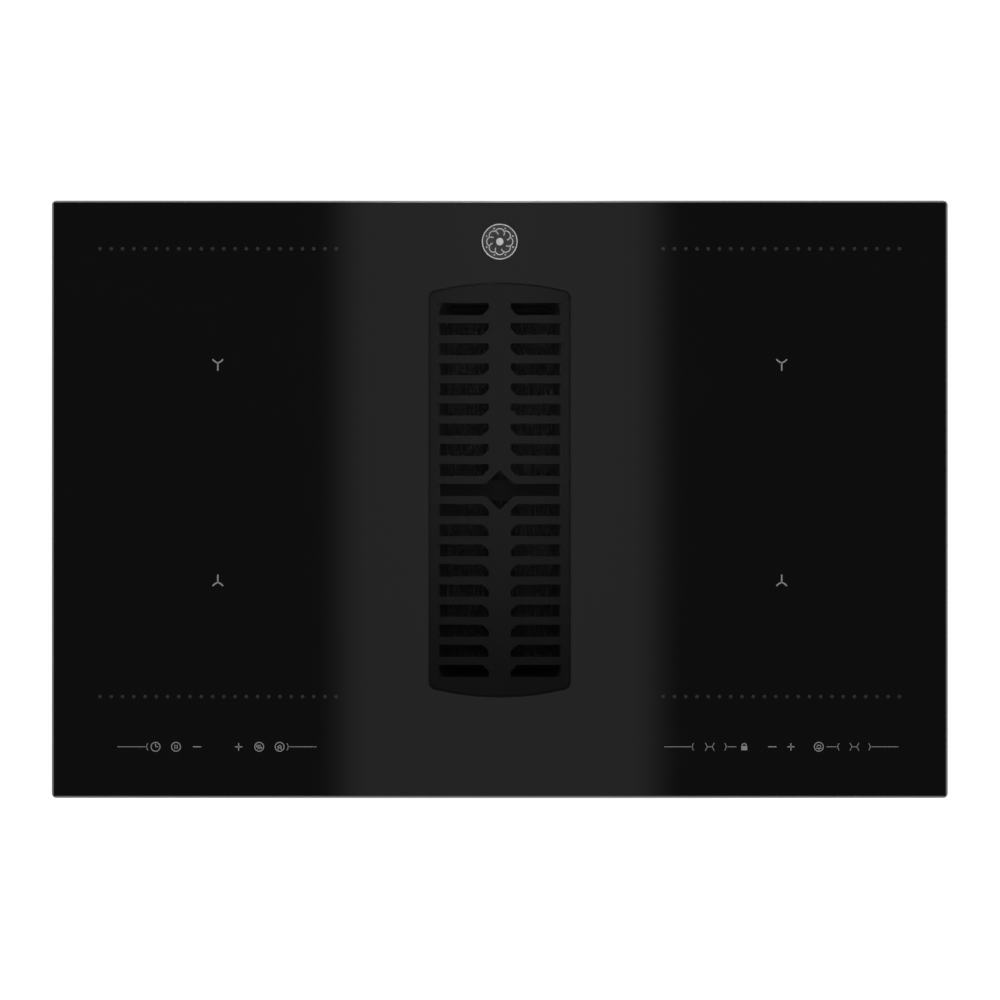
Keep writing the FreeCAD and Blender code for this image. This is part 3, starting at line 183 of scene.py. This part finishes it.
# Coil carriers and heat sinks: rolled sheet and extruded bar in plain aluminium, left as they came
# from the mill, with the faint lines of the rolls and the die, drawn coarser than they are.
aluminium = new_material("mill_finish_aluminium")
die_line_mm = 1.4
place = add(aluminium, "TexCoord").outputs["Object"]
drawn = add(aluminium, "Mapping", {"Vector": place, "Scale": (1.0, 0.03, 1.0)})
lines = add(aluminium, "TexNoise", {"Vector": drawn.outputs[0], "Scale": 1000 / die_line_mm, "Detail": 2.0})
shade = add(aluminium, "Mix", {0: lines.outputs["Fac"], 6: linear("#bfc1c3"), 7: linear("#dadbdc")},
            data_type="RGBA")
gloss = add(aluminium, "MapRange", {"Value": lines.outputs["Fac"], "To Min": 0.28, "To Max": 0.4})
body = add(aluminium, "BsdfPrincipled", {"Base Color": shade.outputs[2], "Roughness": gloss.outputs[0],
                                         "Metallic": 1.0})
add(aluminium, "OutputMaterial", {"Surface": body.outputs[0]})
dress(aluminium, "coil_carrier_left", "coil_carrier_right", "heat_sink_left", "heat_sink_right")

# Coils: flat pancakes of stranded copper wire under a brown varnish, wound from the eye outwards, so
# that rings of wire show on the face.
sides = ("left", "right")
spots = [end + "_" + side for side in sides for end in ("rear", "front")]
wire_mm = 4.0
wave_factor = 20
for spot in spots:
    low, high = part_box("coil_" + spot)
    centre = (low + high) / 2
    copper = new_material("varnished_litz_" + spot)
    place = add(copper, "TexCoord").outputs["Object"]
    centred = add(copper, "Mapping", {"Vector": place, "Location": (-centre.x, -centre.y, 0.0)})
    # The wave texture turns by its own factor of 20 radians in each unit, not by one turn.
    rings = add(copper, "TexWave", {"Vector": centred.outputs[0], "Distortion": 0.4,
                                    "Scale": math.tau * (1000 / wave_factor) / wire_mm},
                wave_type="RINGS", rings_direction="Z")
    shade = add(copper, "Mix", {0: rings.outputs["Fac"], 6: linear("#4a2412"), 7: linear("#a8623a")},
                data_type="RGBA")
    relief = add(copper, "Bump", {"Strength": 0.6, "Distance": 0.0006, "Height": rings.outputs["Fac"]})
    body = add(copper, "BsdfPrincipled", {"Base Color": shade.outputs[2], "Roughness": 0.34,
                                          "Metallic": 0.7, "Normal": relief.outputs[0]})
    add(copper, "OutputMaterial", {"Surface": body.outputs[0]})
    dress(copper, "coil_" + spot)

# Mica sheets over the coils: flakes pressed with a silicone binder into a stiff tan card, mottled
# where the flakes overlap.
mica = new_material("pressed_mica")
flake_mm = 3.5
place = add(mica, "TexCoord").outputs["Object"]
flakes = add(mica, "TexVoronoi", {"Vector": place, "Scale": 1000 / flake_mm})
tint = add(mica, "SeparateColor", {"Color": flakes.outputs["Color"]})
shade = add(mica, "Mix", {0: tint.outputs[0], 6: linear("#a08a66"), 7: linear("#c9b48b")}, data_type="RGBA")
body = add(mica, "BsdfPrincipled", {"Base Color": shade.outputs[2], "Roughness": 0.4, "IOR": 1.58})
add(mica, "OutputMaterial", {"Surface": body.outputs[0]})
dress(mica, *["coil_mica_" + spot for spot in spots])

# Ferrite bars: pressed and sintered manganese-zinc powder, glued under the coils to turn their field
# upwards. A dense charcoal grey, with a fine grit that is drawn coarser than it is.
ferrite = new_material("sintered_ferrite")
grit_mm = 0.8
place = add(ferrite, "TexCoord").outputs["Object"]
grit = add(ferrite, "TexNoise", {"Vector": place, "Scale": 1000 / grit_mm, "Detail": 4.0})
shade = add(ferrite, "Mix", {0: grit.outputs["Fac"], 6: linear("#2e2f31"), 7: linear("#4b4c4f")},
            data_type="RGBA")
relief = add(ferrite, "Bump", {"Strength": 0.4, "Distance": 0.0001, "Height": grit.outputs["Fac"]})
body = add(ferrite, "BsdfPrincipled", {"Base Color": shade.outputs[2], "Roughness": 0.6,
                                       "Normal": relief.outputs[0]})
add(ferrite, "OutputMaterial", {"Surface": body.outputs[0]})
dress(ferrite, *["ferrite_bars_" + side for side in sides])

# Coil formers and sensor pads: heat-proof polyphenylene sulphide, moulded in its natural bone colour and
# snapped on the carriers. Slow drift in the melt shows as paler patches.
sulphide = new_material("natural_polyphenylene_sulphide")
place = add(sulphide, "TexCoord").outputs["Object"]
drift = add(sulphide, "TexNoise", {"Vector": place, "Scale": 1000 / melt_drift_mm, "Detail": 3.0})
shade = add(sulphide, "Mix", {0: drift.outputs["Fac"], 6: linear("#cfc4ab"), 7: linear("#e4dcc8")},
            data_type="RGBA")
body = add(sulphide, "BsdfPrincipled", {"Base Color": shade.outputs[2], "Roughness": 0.48, "IOR": 1.6})
add(sulphide, "OutputMaterial", {"Surface": body.outputs[0]})
dress(sulphide, *["coil_former_" + spot for spot in spots], *["coil_sensors_" + side for side in sides])

# Power and touch boards: glass-epoxy laminate under green solder resist, with the copper tracks
# below it showing as paler lanes.
laminate = new_material("green_resist_laminate")
track_mm = 5.0
place = add(laminate, "TexCoord").outputs["Object"]
# A row of the brick texture is a quarter of a unit high.
tracks = add(laminate, "TexBrick", {"Vector": place, "Scale": 1000 / track_mm / 4, "Mortar Size": 0.05,
                                    "Color1": linear("#12442a"), "Color2": linear("#17553a"),
                                    "Mortar": linear("#0c3120")})
body = add(laminate, "BsdfPrincipled", {"Base Color": tracks.outputs["Color"], "Roughness": 0.32,
                                        "IOR": 1.55})
add(laminate, "OutputMaterial", {"Surface": body.outputs[0]})
dress(laminate, *["power_board_" + side for side in sides], *["touch_board_" + side for side in sides])

# Grease filter cassette and its grip: pressed steel sheet under a black baked-on coat, fine enough to
# wipe clean. The coat is a little orange-peeled and swallows most of what light comes down the well.
coat = new_material("black_coated_steel")
peel_mm = 1.5
place = add(coat, "TexCoord").outputs["Object"]
peel = add(coat, "TexNoise", {"Vector": place, "Scale": 1000 / peel_mm, "Detail": 2.0})
shade = add(coat, "Mix", {0: peel.outputs["Fac"], 6: linear("#070707"), 7: linear("#0b0b0b")},
            data_type="RGBA")
relief = add(coat, "Bump", {"Strength": 0.2, "Distance": 0.0001, "Height": peel.outputs["Fac"]})
body = add(coat, "BsdfPrincipled", {"Base Color": shade.outputs[2], "Roughness": 0.55, "IOR": 1.5,
                                    "Specular IOR Level": 0.15, "Normal": relief.outputs[0]})
add(coat, "OutputMaterial", {"Surface": body.outputs[0]})
dress(coat, "filter_frame", "filter_grip")

# Grease filter mesh: a pleated sheet of expanded stainless steel, slit and stretched so that the strands
# form long diamonds, then dipped in the cassette's black coat. It lies in the cassette.


def piece(name, mesh, material, body_name):
    """Turn a finished bmesh into a piece that rides on a body."""
    data = bpy.data.meshes.new(name)
    mesh.to_mesh(data)
    mesh.free()
    data.materials.append(material)
    made = bpy.data.objects.new(name, data)
    bpy.context.scene.collection.objects.link(made)
    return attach(made, body_name)


low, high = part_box("filter_mesh")
strand = 0.0007
diamond_long = 0.009
pleat_count = 11
pleat = (high.x - low.x) / pleat_count
columns = pleat_count * 4
rows = round((high.y - low.y) / diamond_long)
expanded = bmesh.new()
bmesh.ops.create_grid(expanded, x_segments=columns, y_segments=rows, size=0.5)
bmesh.ops.poke(expanded, faces=expanded.faces[:])
long_edges = [edge for edge in expanded.edges if len(edge.link_faces) == 2
              and all(len(vert.link_edges) != 4 for vert in edge.verts)]
bmesh.ops.dissolve_edges(expanded, edges=long_edges, use_verts=False, use_face_split=False)
for vert in expanded.verts:
    x = low.x + strand + (vert.co.x + 0.5) * (high.x - low.x - 2 * strand)
    y = low.y + strand + (vert.co.y + 0.5) * (high.y - low.y - 2 * strand)
    rise = abs(((x - low.x) / pleat) % 1.0 - 0.5) * 2
    vert.co = Vector((x, y, low.z + strand + (1 - rise) * (high.z - low.z - 2 * strand)))
dipped = new_material("dipped_expanded_stainless_steel")
place = add(dipped, "TexCoord").outputs["Object"]
runs = add(dipped, "TexNoise", {"Vector": place, "Scale": 1000 / peel_mm, "Detail": 2.0})
shade = add(dipped, "Mix", {0: runs.outputs["Fac"], 6: linear("#1c1c1c"), 7: linear("#222222")},
            data_type="RGBA")
body = add(dipped, "BsdfPrincipled", {"Base Color": shade.outputs[2], "Roughness": 0.6, "IOR": 1.5})
add(dipped, "OutputMaterial", {"Surface": body.outputs[0]})
grease_mesh = piece("grease_mesh", expanded, dipped, "grease_filter")
strands = grease_mesh.modifiers.new("strands", "WIREFRAME")
strands.thickness = 2 * strand
strands.use_even_offset = False
strands.use_boundary = True
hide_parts("filter_mesh")

# Seals: a closed-cell foam strip that beds the glass on the worktop, a silicone ring between glass
# and collar, and the silicone bead that bonds the casing on. The foam shows its cells at the cut edge.
foam = new_material("closed_cell_foam")
cell_mm = 0.9
place = add(foam, "TexCoord").outputs["Object"]
cells = add(foam, "TexVoronoi", {"Vector": place, "Scale": 1000 / cell_mm})
shade = add(foam, "Mix", {0: cells.outputs["Distance"], 6: linear("#1b1b1b"), 7: linear("#343434")},
            data_type="RGBA")
relief = add(foam, "Bump", {"Strength": 0.5, "Distance": 0.0003, "Height": cells.outputs["Distance"]})
body = add(foam, "BsdfPrincipled", {"Base Color": shade.outputs[2], "Roughness": 0.85,
                                    "Normal": relief.outputs[0]})
add(foam, "OutputMaterial", {"Surface": body.outputs[0]})
dress(foam, "glass_seal")

silicone = new_material("black_silicone")
ripple_mm = 6.0
place = add(silicone, "TexCoord").outputs["Object"]
ripple = add(silicone, "TexNoise", {"Vector": place, "Scale": 1000 / ripple_mm, "Detail": 2.0})
shade = add(silicone, "Mix", {0: ripple.outputs["Fac"], 6: linear("#0e0e0e"), 7: linear("#131313")},
            data_type="RGBA")
relief = add(silicone, "Bump", {"Strength": 0.2, "Distance": 0.0004, "Height": ripple.outputs["Fac"]})
body = add(silicone, "BsdfPrincipled", {"Base Color": shade.outputs[2], "Roughness": 0.45, "IOR": 1.41,
                                        "Normal": relief.outputs[0]})
add(silicone, "OutputMaterial", {"Surface": body.outputs[0]})
dress(silicone, "inlet_seal", "glass_adhesive")

# Opening lip: a thin strip of the same silicone, pressed on the cut edge of the opening so that spills
# stay on the glass. It stops short of the grille, which is lifted out past it.
lip_thickness = 0.00055
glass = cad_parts["glass_top"].data
lip = bmesh.new()
lip.from_mesh(glass)
bmesh.ops.remove_doubles(lip, verts=lip.verts[:], dist=1e-6)
grille_low, grille_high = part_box("grille")
reach = 0.002
outside = [face for face in lip.faces if abs(face.normal.z) > 0.1
           or not all(grille_low[axis] - reach < face.calc_center_median()[axis] < grille_high[axis] + reach
                      for axis in (0, 1))]
bmesh.ops.delete(lip, geom=outside, context="FACES")
bmesh.ops.solidify(lip, geom=lip.faces[:], thickness=-lip_thickness)
bmesh.ops.recalc_face_normals(lip, faces=lip.faces[:])
piece("opening_lip", lip, silicone, "chassis")

# Glass plate: black glass-ceramic, fire polished on top, with its edge ground to a matt facet. The pale
# grey of the outermost strip is a painted highlight, which stands in for the light the ground bevel
# catches. The last wipe leaves streaks too thin to see except as a slight change of gloss.
ceramic = new_material("black_glass_ceramic")
glass_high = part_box("glass_top")[1]
wipe_mm = 70
# Width and fade of the outermost strip: ground matt, with a painted highlight in pale grey.
ground_and_highlight_width = 0.0018
ground_and_highlight_fade = 0.0003
ground_roughness = 0.5
place = add(ceramic, "TexCoord").outputs["Object"]
wiped = add(ceramic, "Mapping", {"Vector": place, "Rotation": (0.0, 0.0, 0.5), "Scale": (0.25, 1.0, 1.0)})
streak = add(ceramic, "TexNoise", {"Vector": wiped.outputs[0], "Scale": 1000 / wipe_mm, "Detail": 4.0})
gloss = add(ceramic, "MapRange", {"Value": streak.outputs["Fac"], "To Min": 0.02, "To Max": 0.06})
shade = add(ceramic, "Mix", {0: streak.outputs["Fac"], 6: linear("#030303"), 7: linear("#050505")},
            data_type="RGBA")
# The ground facet, with its painted highlight, is the outermost strip of the plate. It is found from how
# far a point lies past the plate's half width or half depth, which is less than nothing everywhere on the
# plate.
across = add(ceramic, "SeparateXYZ", {"Vector": place})
past = []
for axis, half in (("X", glass_high.x), ("Y", glass_high.y)):
    away = add(ceramic, "Math", {0: across.outputs[axis]}, operation="ABSOLUTE")
    past.append(add(ceramic, "Math", {0: away.outputs[0], 1: half}, operation="SUBTRACT"))
nearest = add(ceramic, "Math", {0: past[0].outputs[0], 1: past[1].outputs[0]}, operation="MAXIMUM")
ground_facet_and_highlight = add(ceramic, "MapRange", {"Value": nearest.outputs[0], "From Min": -ground_and_highlight_width,
                                  "From Max": ground_and_highlight_fade - ground_and_highlight_width})
# Pale grey on the strip: a painted highlight over the ground glass.
glass_tone_and_highlight = add(ceramic, "Mix", {0: ground_facet_and_highlight.outputs[0], 6: shade.outputs[2], 7: linear("#7c7c7c")},
           data_type="RGBA")
sheen = add(ceramic, "Mix", {0: ground_facet_and_highlight.outputs[0], 2: gloss.outputs[0], 3: ground_roughness},
            data_type="FLOAT")
body = add(ceramic, "BsdfPrincipled", {"Base Color": glass_tone_and_highlight.outputs[2], "Roughness": sheen.outputs[0],
                                       "IOR": 1.52})
add(ceramic, "OutputMaterial", {"Surface": body.outputs[0]})
dress(ceramic, "glass_top")

# Printed marks: ceramic frit screen-printed on the glass and fired in, a film a few hundredths of a
# millimetre thick. Zone dots are a dark grey; zone crosses and the control signs are paler.
film = 0.00003
mm = 0.001


def frit(name, dark, pale):
    """Fired ink: matt beside the glass, with a slight mottle from the screen's threads."""
    # The threads are drawn coarser than they are, so that they show.
    thread_mm = 0.7
    ink = new_material(name)
    place = add(ink, "TexCoord").outputs["Object"]
    mottle = add(ink, "TexNoise", {"Vector": place, "Scale": 1000 / thread_mm, "Detail": 2.0})
    shade = add(ink, "Mix", {0: mottle.outputs["Fac"], 6: linear(dark), 7: linear(pale)}, data_type="RGBA")
    body = add(ink, "BsdfPrincipled", {"Base Color": shade.outputs[2], "Roughness": 0.5, "IOR": 1.52})
    add(ink, "OutputMaterial", {"Surface": body.outputs[0]})
    return ink


def at(x, y):
    """Place on the glass, from millimetres right of and behind its middle."""
    return Matrix.Translation((x * mm, y * mm, glass_high.z))


def disc(mesh, x, y, radius, segments=16, height=film):
    """Round dot of film."""
    bmesh.ops.create_cone(mesh, cap_ends=True, segments=segments, radius1=radius * mm, radius2=radius * mm,
                          depth=height, matrix=at(x, y) @ Matrix.Translation((0, 0, height / 2)))


def bar(mesh, x, y, length, width, degrees=0.0):
    """Straight stroke of film, centred on x, y."""
    turn = Matrix.Rotation(math.radians(degrees), 4, "Z")
    size = Matrix.Diagonal((length * mm, width * mm, film, 1.0))
    lift = Matrix.Translation((0, 0, film / 2))
    bmesh.ops.create_cube(mesh, size=1.0, matrix=at(x, y) @ turn @ lift @ size)


def arc(mesh, x, y, radius, width, start=0.0, sweep=360.0):
    """Curved stroke of film: the stroke's section spun about x, y."""
    section = bmesh.ops.create_grid(mesh, x_segments=1, y_segments=1, size=0.5)["verts"]
    upright = Matrix.Rotation(math.radians(90), 4, "X") @ Matrix.Diagonal((width * mm, film, 1.0, 1.0))
    turn = Matrix.Rotation(math.radians(start), 4, "Z")
    move = at(x, y) @ turn @ Matrix.Translation((radius * mm, 0, film / 2))
    bmesh.ops.transform(mesh, matrix=move @ upright, verts=section)
    ends = list({face for vert in section for face in vert.link_faces})
    edges = list({edge for vert in section for edge in vert.link_edges})
    closed = sweep >= 360.0
    if closed:
        bmesh.ops.delete(mesh, geom=ends, context="FACES_ONLY")
        ends = []
    bmesh.ops.spin(mesh, geom=section + edges + ends, cent=at(x, y).translation, axis=(0, 0, 1),
                   angle=math.radians(sweep), steps=max(6, round(sweep / 15)), use_merge=closed)


def print_piece(name, mesh, ink):
    """Finish a printed mesh and fix it to the glass."""
    bmesh.ops.remove_doubles(mesh, verts=mesh.verts[:], dist=1e-7)
    bmesh.ops.recalc_face_normals(mesh, faces=mesh.faces[:])
    return piece(name, mesh, ink, "chassis")


dark_frit = frit("dark_grey_frit", "#272727", "#2f2f2f")
pale_frit = frit("pale_grey_frit", "#888888", "#a0a0a0")

dots = bmesh.new()
dot_radius = 1.6
dot_count = 22
dot_pitch = 9.79
dot_first = 142.3
for row_y in (218.0, -171.8):
    for i in range(dot_count):
        for side in (-1, 1):
            disc(dots, side * (dot_first + i * dot_pitch), row_y, dot_radius)
print_piece("zone_dots", dots, dark_frit)

crosses = bmesh.new()
zone_x = 245.4
arm_radius = 9.2
arm_slope = 35.0
arm_bend = 35.0
stem = 6.8
stroke = 1.2
for zone_y, towards in ((118.6, 1), (-72.4, -1)):
    for side in (-1, 1):
        x = side * zone_x
        bar(crosses, x, zone_y - towards * stem / 2, stroke, stem)
        for lean in (-1, 1):
            root = -towards * (90 - lean * (arm_slope - arm_bend / 2))
            middle = -towards * (90 - lean * arm_slope)
            hub_x = x - arm_radius * math.cos(math.radians(root))
            hub_y = zone_y - arm_radius * math.sin(math.radians(root))
            arc(crosses, hub_x, hub_y, arm_radius, stroke, middle - arm_bend / 2, arm_bend)
print_piece("zone_crosses", crosses, pale_frit)

# Control signs: timer, pause, warming and boost on the left, lock, alarm and bridged zones on the
# right, with minus and plus between them and thin leader lines to both sides.
signs = bmesh.new()
signs_y = -215.5
ring_radius = 3.9
thin = 0.75
line = 0.52
firm = 0.85


def ringed(x):
    """The ring round a sign."""
    arc(signs, x, signs_y, ring_radius, thin)


def plus(x, span=6.4):
    """A plus sign."""
    bar(signs, x, signs_y, span, firm)
    bar(signs, x, signs_y, firm, span)


def minus(x, span=7.2):
    """A minus sign."""
    bar(signs, x, signs_y, span, firm)


def leader(x_from, x_to):
    """A thin line from sign to sign."""
    bar(signs, (x_from + x_to) / 2, signs_y, abs(x_to - x_from), line)


def fork(x, towards, radius=4.6, half_angle=42, reach=5.2, root=1.2, root_place=0.4):
    """Two short curved prongs that close a leader line; towards is the side they open to."""
    middle = 180 if towards > 0 else 0
    arc(signs, x + towards * reach, signs_y, radius, line, middle - half_angle, 2 * half_angle)
    bar(signs, x + towards * root_place, signs_y, root, line)


def bridge(x, span=3.6, prong=3.9, prong_x=3.0, prong_y=1.7, slope=60):
    """Two bent prongs joined by a bar: zones that work as one."""
    bar(signs, x, signs_y, span, line)
    for side in (-1, 1):
        for lean in (-1, 1):
            bar(signs, x + side * prong_x, signs_y + lean * prong_y, prong, line, side * lean * slope)


def hand(x, y, length, degrees):
    """A stroke that starts at x, y and runs off at an angle."""
    angle = math.radians(degrees)
    bar(signs, x + length / 2 * math.cos(angle), y + length / 2 * math.sin(angle), length, thin, degrees)


timer_x, pause_x, warm_x, boost_x = -299.6, -281.8, -209.4, -191.6
minute_hand, hour_hand = 2.9, 2.2
pause_offset, pause_height = 1.0, 3.6
steam_pitch, steam_stroke = 1.5, 0.6
steam_upper, steam_lower = 1.0, 0.8
chevron, chevron_offset = 2.9, 0.9
leader(-332.7, -308.6)
fork(-308.0, 1)
ringed(timer_x)
hand(timer_x, signs_y, minute_hand, 90)
hand(timer_x, signs_y, hour_hand, 0)
ringed(pause_x)
for side in (-1, 1):
    bar(signs, pause_x + side * pause_offset, signs_y, thin, pause_height)
minus(-263.5)
plus(-227.3)
ringed(warm_x)
for step in (-1, 0, 1):
    arc(signs, warm_x + step * steam_pitch, signs_y + 0.6, steam_upper, steam_stroke, 90, 180)
    arc(signs, warm_x + step * steam_pitch, signs_y - 1.0, steam_lower, steam_stroke, -90, 180)
ringed(boost_x)
for lift in (-1.3, 0.5):
    bar(signs, boost_x - chevron_offset, signs_y + lift, chevron, thin, 45)
    bar(signs, boost_x + chevron_offset, signs_y + lift, chevron, thin, -45)
fork(-183.6, -1)
leader(-183.0, -159.3)

lock_x, alarm_x = 212.8, 277.7
lock_width, lock_height = 5.2, 3.6
shackle_radius, shackle_stroke = 1.9, 0.9
bell_radius, bell_rim, clapper_radius = 1.7, 4.6, 0.6
leader(143.1, 166.4)
fork(167.0, 1)
bridge(182.8)
fork(197.6, -1)
leader(198.2, 205.9)
bar(signs, lock_x, signs_y - 1.2, lock_width, lock_height)
arc(signs, lock_x, signs_y + 0.9, shackle_radius, shackle_stroke, 0, 180)
minus(237.2)
plus(253.4)
ringed(alarm_x)
arc(signs, alarm_x, signs_y - 0.2, bell_radius, thin, 0, 180)
bar(signs, alarm_x, signs_y - 1.2, bell_rim, thin)
disc(signs, alarm_x, signs_y - 2.3, clapper_radius)
leader(284.4, 293.0)
fork(293.6, 1)
bridge(308.7)
fork(322.9, -1)
leader(323.5, 347.0)
print_piece("control_signs", signs, pale_frit)

# Fan mark: a plain rosette of blades behind the grille, as a sign for the extractor. A dark ground is
# printed first, and the ring, hub and blades over it in a mid grey.
mark_y = 224.2
mark_radius = 15.2
rim_stroke = 0.9
hub_radius = 3.2
blade_count = 8
blade_place = 7.4
blade_radius = 4.0
blade_stroke = 0.8
blade_start, blade_sweep = -120, 190
bead_place = 12.4
bead_radius = 0.7
bead_turn = 0.4
ground = bmesh.new()
disc(ground, 0.0, mark_y, mark_radius, 48, film / 2)
print_piece("fan_mark_ground", ground, frit("black_frit", "#161616", "#1c1c1c"))
mark = bmesh.new()
arc(mark, 0.0, mark_y, mark_radius, rim_stroke)
disc(mark, 0.0, mark_y, hub_radius, 24)
for i in range(blade_count):
    turn = 360 * i / blade_count
    angle = math.radians(turn)
    arc(mark, blade_place * math.cos(angle), mark_y + blade_place * math.sin(angle), blade_radius,
        blade_stroke, turn + blade_start, blade_sweep)
    angle += bead_turn
    disc(mark, bead_place * math.cos(angle), mark_y + bead_place * math.sin(angle), bead_radius)
print_piece("fan_mark", mark, frit("mid_grey_frit", "#767676", "#8e8e8e"))

# Grille: cast iron under a satin black enamel, dropped loose into the opening. The enamel keeps a
# trace of the sand's grain, drawn coarser than it is, and pools a little thicker in the slots.
enamel = new_material("satin_enamelled_cast_iron")
sand_mm = 0.8
pool_mm = 25
place = add(enamel, "TexCoord").outputs["Object"]
sand = add(enamel, "TexNoise", {"Vector": place, "Scale": 1000 / sand_mm, "Detail": 3.0})
pool = add(enamel, "TexNoise", {"Vector": place, "Scale": 1000 / pool_mm, "Detail": 2.0})
shade = add(enamel, "Mix", {0: pool.outputs["Fac"], 6: linear("#111111"), 7: linear("#131313")},
            data_type="RGBA")
gloss = add(enamel, "MapRange", {"Value": pool.outputs["Fac"], "To Min": 0.48, "To Max": 0.58})
relief = add(enamel, "Bump", {"Strength": 0.25, "Distance": 0.0001, "Height": sand.outputs["Fac"]})
body = add(enamel, "BsdfPrincipled", {"Base Color": shade.outputs[2], "Roughness": gloss.outputs[0],
                                      "IOR": 1.5, "Specular IOR Level": 0.03,
                                      "Normal": relief.outputs[0]})
add(enamel, "OutputMaterial", {"Surface": body.outputs[0]})
dress(enamel, "grille")

# Studio: a white floor, a pale room with a dark ceiling, one soft-edged strip over the middle of the
# hob, two large soft lamps, a small gridded box over the grille, and a camera straight above with a
# long lens.
scene = bpy.context.scene
scene.view_settings.view_transform = "Standard"

floor_half = 12.0
floor_level = 0.9
floor_mesh = bmesh.new()
bmesh.ops.create_grid(floor_mesh, x_segments=1, y_segments=1, size=floor_half)
floor_data = bpy.data.meshes.new("floor")
floor_mesh.to_mesh(floor_data)
floor_mesh.free()
floor = bpy.data.objects.new("floor", floor_data)
scene.collection.objects.link(floor)
white = new_material("white_floor")
path = add(white, "LightPath")
seen = add(white, "Math", {0: path.outputs["Is Camera Ray"], 1: path.outputs["Is Glossy Ray"]},
           operation="ADD")
shown = add(white, "Math", {0: seen.outputs[0], 1: path.outputs["Is Transmission Ray"]}, operation="ADD",
            use_clamp=True)
level = add(white, "Math", {0: shown.outputs[0], 1: floor_level}, operation="MULTIPLY")
paper = add(white, "BsdfDiffuse", {"Color": linear("#a8a8a8")})
glow = add(white, "Emission", {"Color": linear("#ffffff"), "Strength": level.outputs[0]})
both = add(white, "AddShader", {0: paper.outputs[0], 1: glow.outputs[0]})
add(white, "OutputMaterial", {"Surface": both.outputs[0]})
floor_data.materials.append(white)

strip_height = 0.8
strip_half_width = 0.187
strip_half_length = 0.8
strip_rearward = 0.49
strip_fade = 0.056
strip_level = 0.395
ceiling_level = 0.085
strip_mesh = bmesh.new()
bmesh.ops.create_grid(strip_mesh, x_segments=1, y_segments=1, size=1.0)
over = Matrix.Translation((0, strip_rearward, glass_high.z + strip_height))
bmesh.ops.transform(strip_mesh, verts=strip_mesh.verts[:],
                    matrix=over @ Matrix.Diagonal((strip_half_width, strip_half_length, 1.0, 1.0)))
bmesh.ops.reverse_faces(strip_mesh, faces=strip_mesh.faces[:])
strip_data = bpy.data.meshes.new("strip_lamp")
strip_mesh.to_mesh(strip_data)
strip_mesh.free()
strip = bpy.data.objects.new("strip_lamp", strip_data)
scene.collection.objects.link(strip)
strip.visible_camera = False
strip.visible_shadow = False
soft_edge = new_material("soft_edged_strip")
place = add(soft_edge, "TexCoord").outputs["Object"]
across = add(soft_edge, "SeparateXYZ", {"Vector": place})
offset = add(soft_edge, "Math", {0: across.outputs["X"]}, operation="ABSOLUTE")
fade = add(soft_edge, "MapRange", {"Value": offset.outputs[0], "From Min": strip_half_width - strip_fade,
                                   "From Max": strip_half_width, "To Min": strip_level,
                                   "To Max": ceiling_level}, interpolation_type="SMOOTHSTEP")
glow = add(soft_edge, "Emission", {"Strength": fade.outputs[0]})
add(soft_edge, "OutputMaterial", {"Surface": glow.outputs[0]})
strip_data.materials.append(soft_edge)


def hang(name, lamp, spot, aim):
    """Hang a lamp at a spot, turned to its aim: it lights the hob but is not seen itself."""
    holder = bpy.data.objects.new(name, lamp)
    scene.collection.objects.link(holder)
    holder.location = spot
    holder.rotation_euler = (Vector(aim) - Vector(spot)).to_track_quat("-Z", "Y").to_euler()
    holder.visible_camera = False
    holder.visible_glossy = False


soft_lamp_size = 1.6
for name, spot, power in (("key_lamp", (-2.2, 2.0, 2.4), 53.0), ("fill_lamp", (2.6, 1.6, 2.2), 36.0)):
    lamp = bpy.data.lights.new(name, "AREA")
    lamp.energy = power
    lamp.size = soft_lamp_size
    hang(name, lamp, spot, (0.0, 0.0, glass_high.z))

# A gridded box over the rear of the grille looks straight down its slots and fades towards the front.
grid_height = 0.6
grid_rearward = 0.12
grid_lamp = bpy.data.lights.new("grid_lamp", "AREA")
grid_lamp.shape = "RECTANGLE"
grid_lamp.size = 0.1
grid_lamp.size_y = 0.44
grid_lamp.spread = math.radians(30)
grid_lamp.energy = 0.31
hang("grid_lamp", grid_lamp, (0.0, grid_rearward, glass_high.z + grid_height),
     (0.0, grid_rearward, glass_high.z))

wall_level = 0.8
wall_top = 0.2
ceiling_start = 0.93
room = bpy.data.worlds.new("studio_room")
room.use_nodes = True
room.node_tree.nodes.clear()
direction = add(room, "TexCoord").outputs["Generated"]
height = add(room, "SeparateXYZ", {"Vector": direction})
ceiling = add(room, "MapRange", {"Value": height.outputs["Z"], "From Min": wall_top,
                                 "From Max": ceiling_start, "To Min": wall_level,
                                 "To Max": ceiling_level}, interpolation_type="SMOOTHSTEP")
air = add(room, "Background", {"Color": linear("#ffffff"), "Strength": ceiling.outputs[0]})
add(room, "OutputWorld", {"Surface": air.outputs[0]})
scene.world = room

frame_width = 0.8704
camera_x, camera_y = 0.0002, -0.0007
lens = bpy.data.cameras.new("camera")
lens.lens = 200.0
lens.sensor_width = 36.0
lens.clip_end = 100.0
camera = bpy.data.objects.new("camera", lens)
scene.collection.objects.link(camera)
camera.location = (camera_x, camera_y, glass_high.z + frame_width * lens.lens / lens.sensor_width)
scene.camera = camera
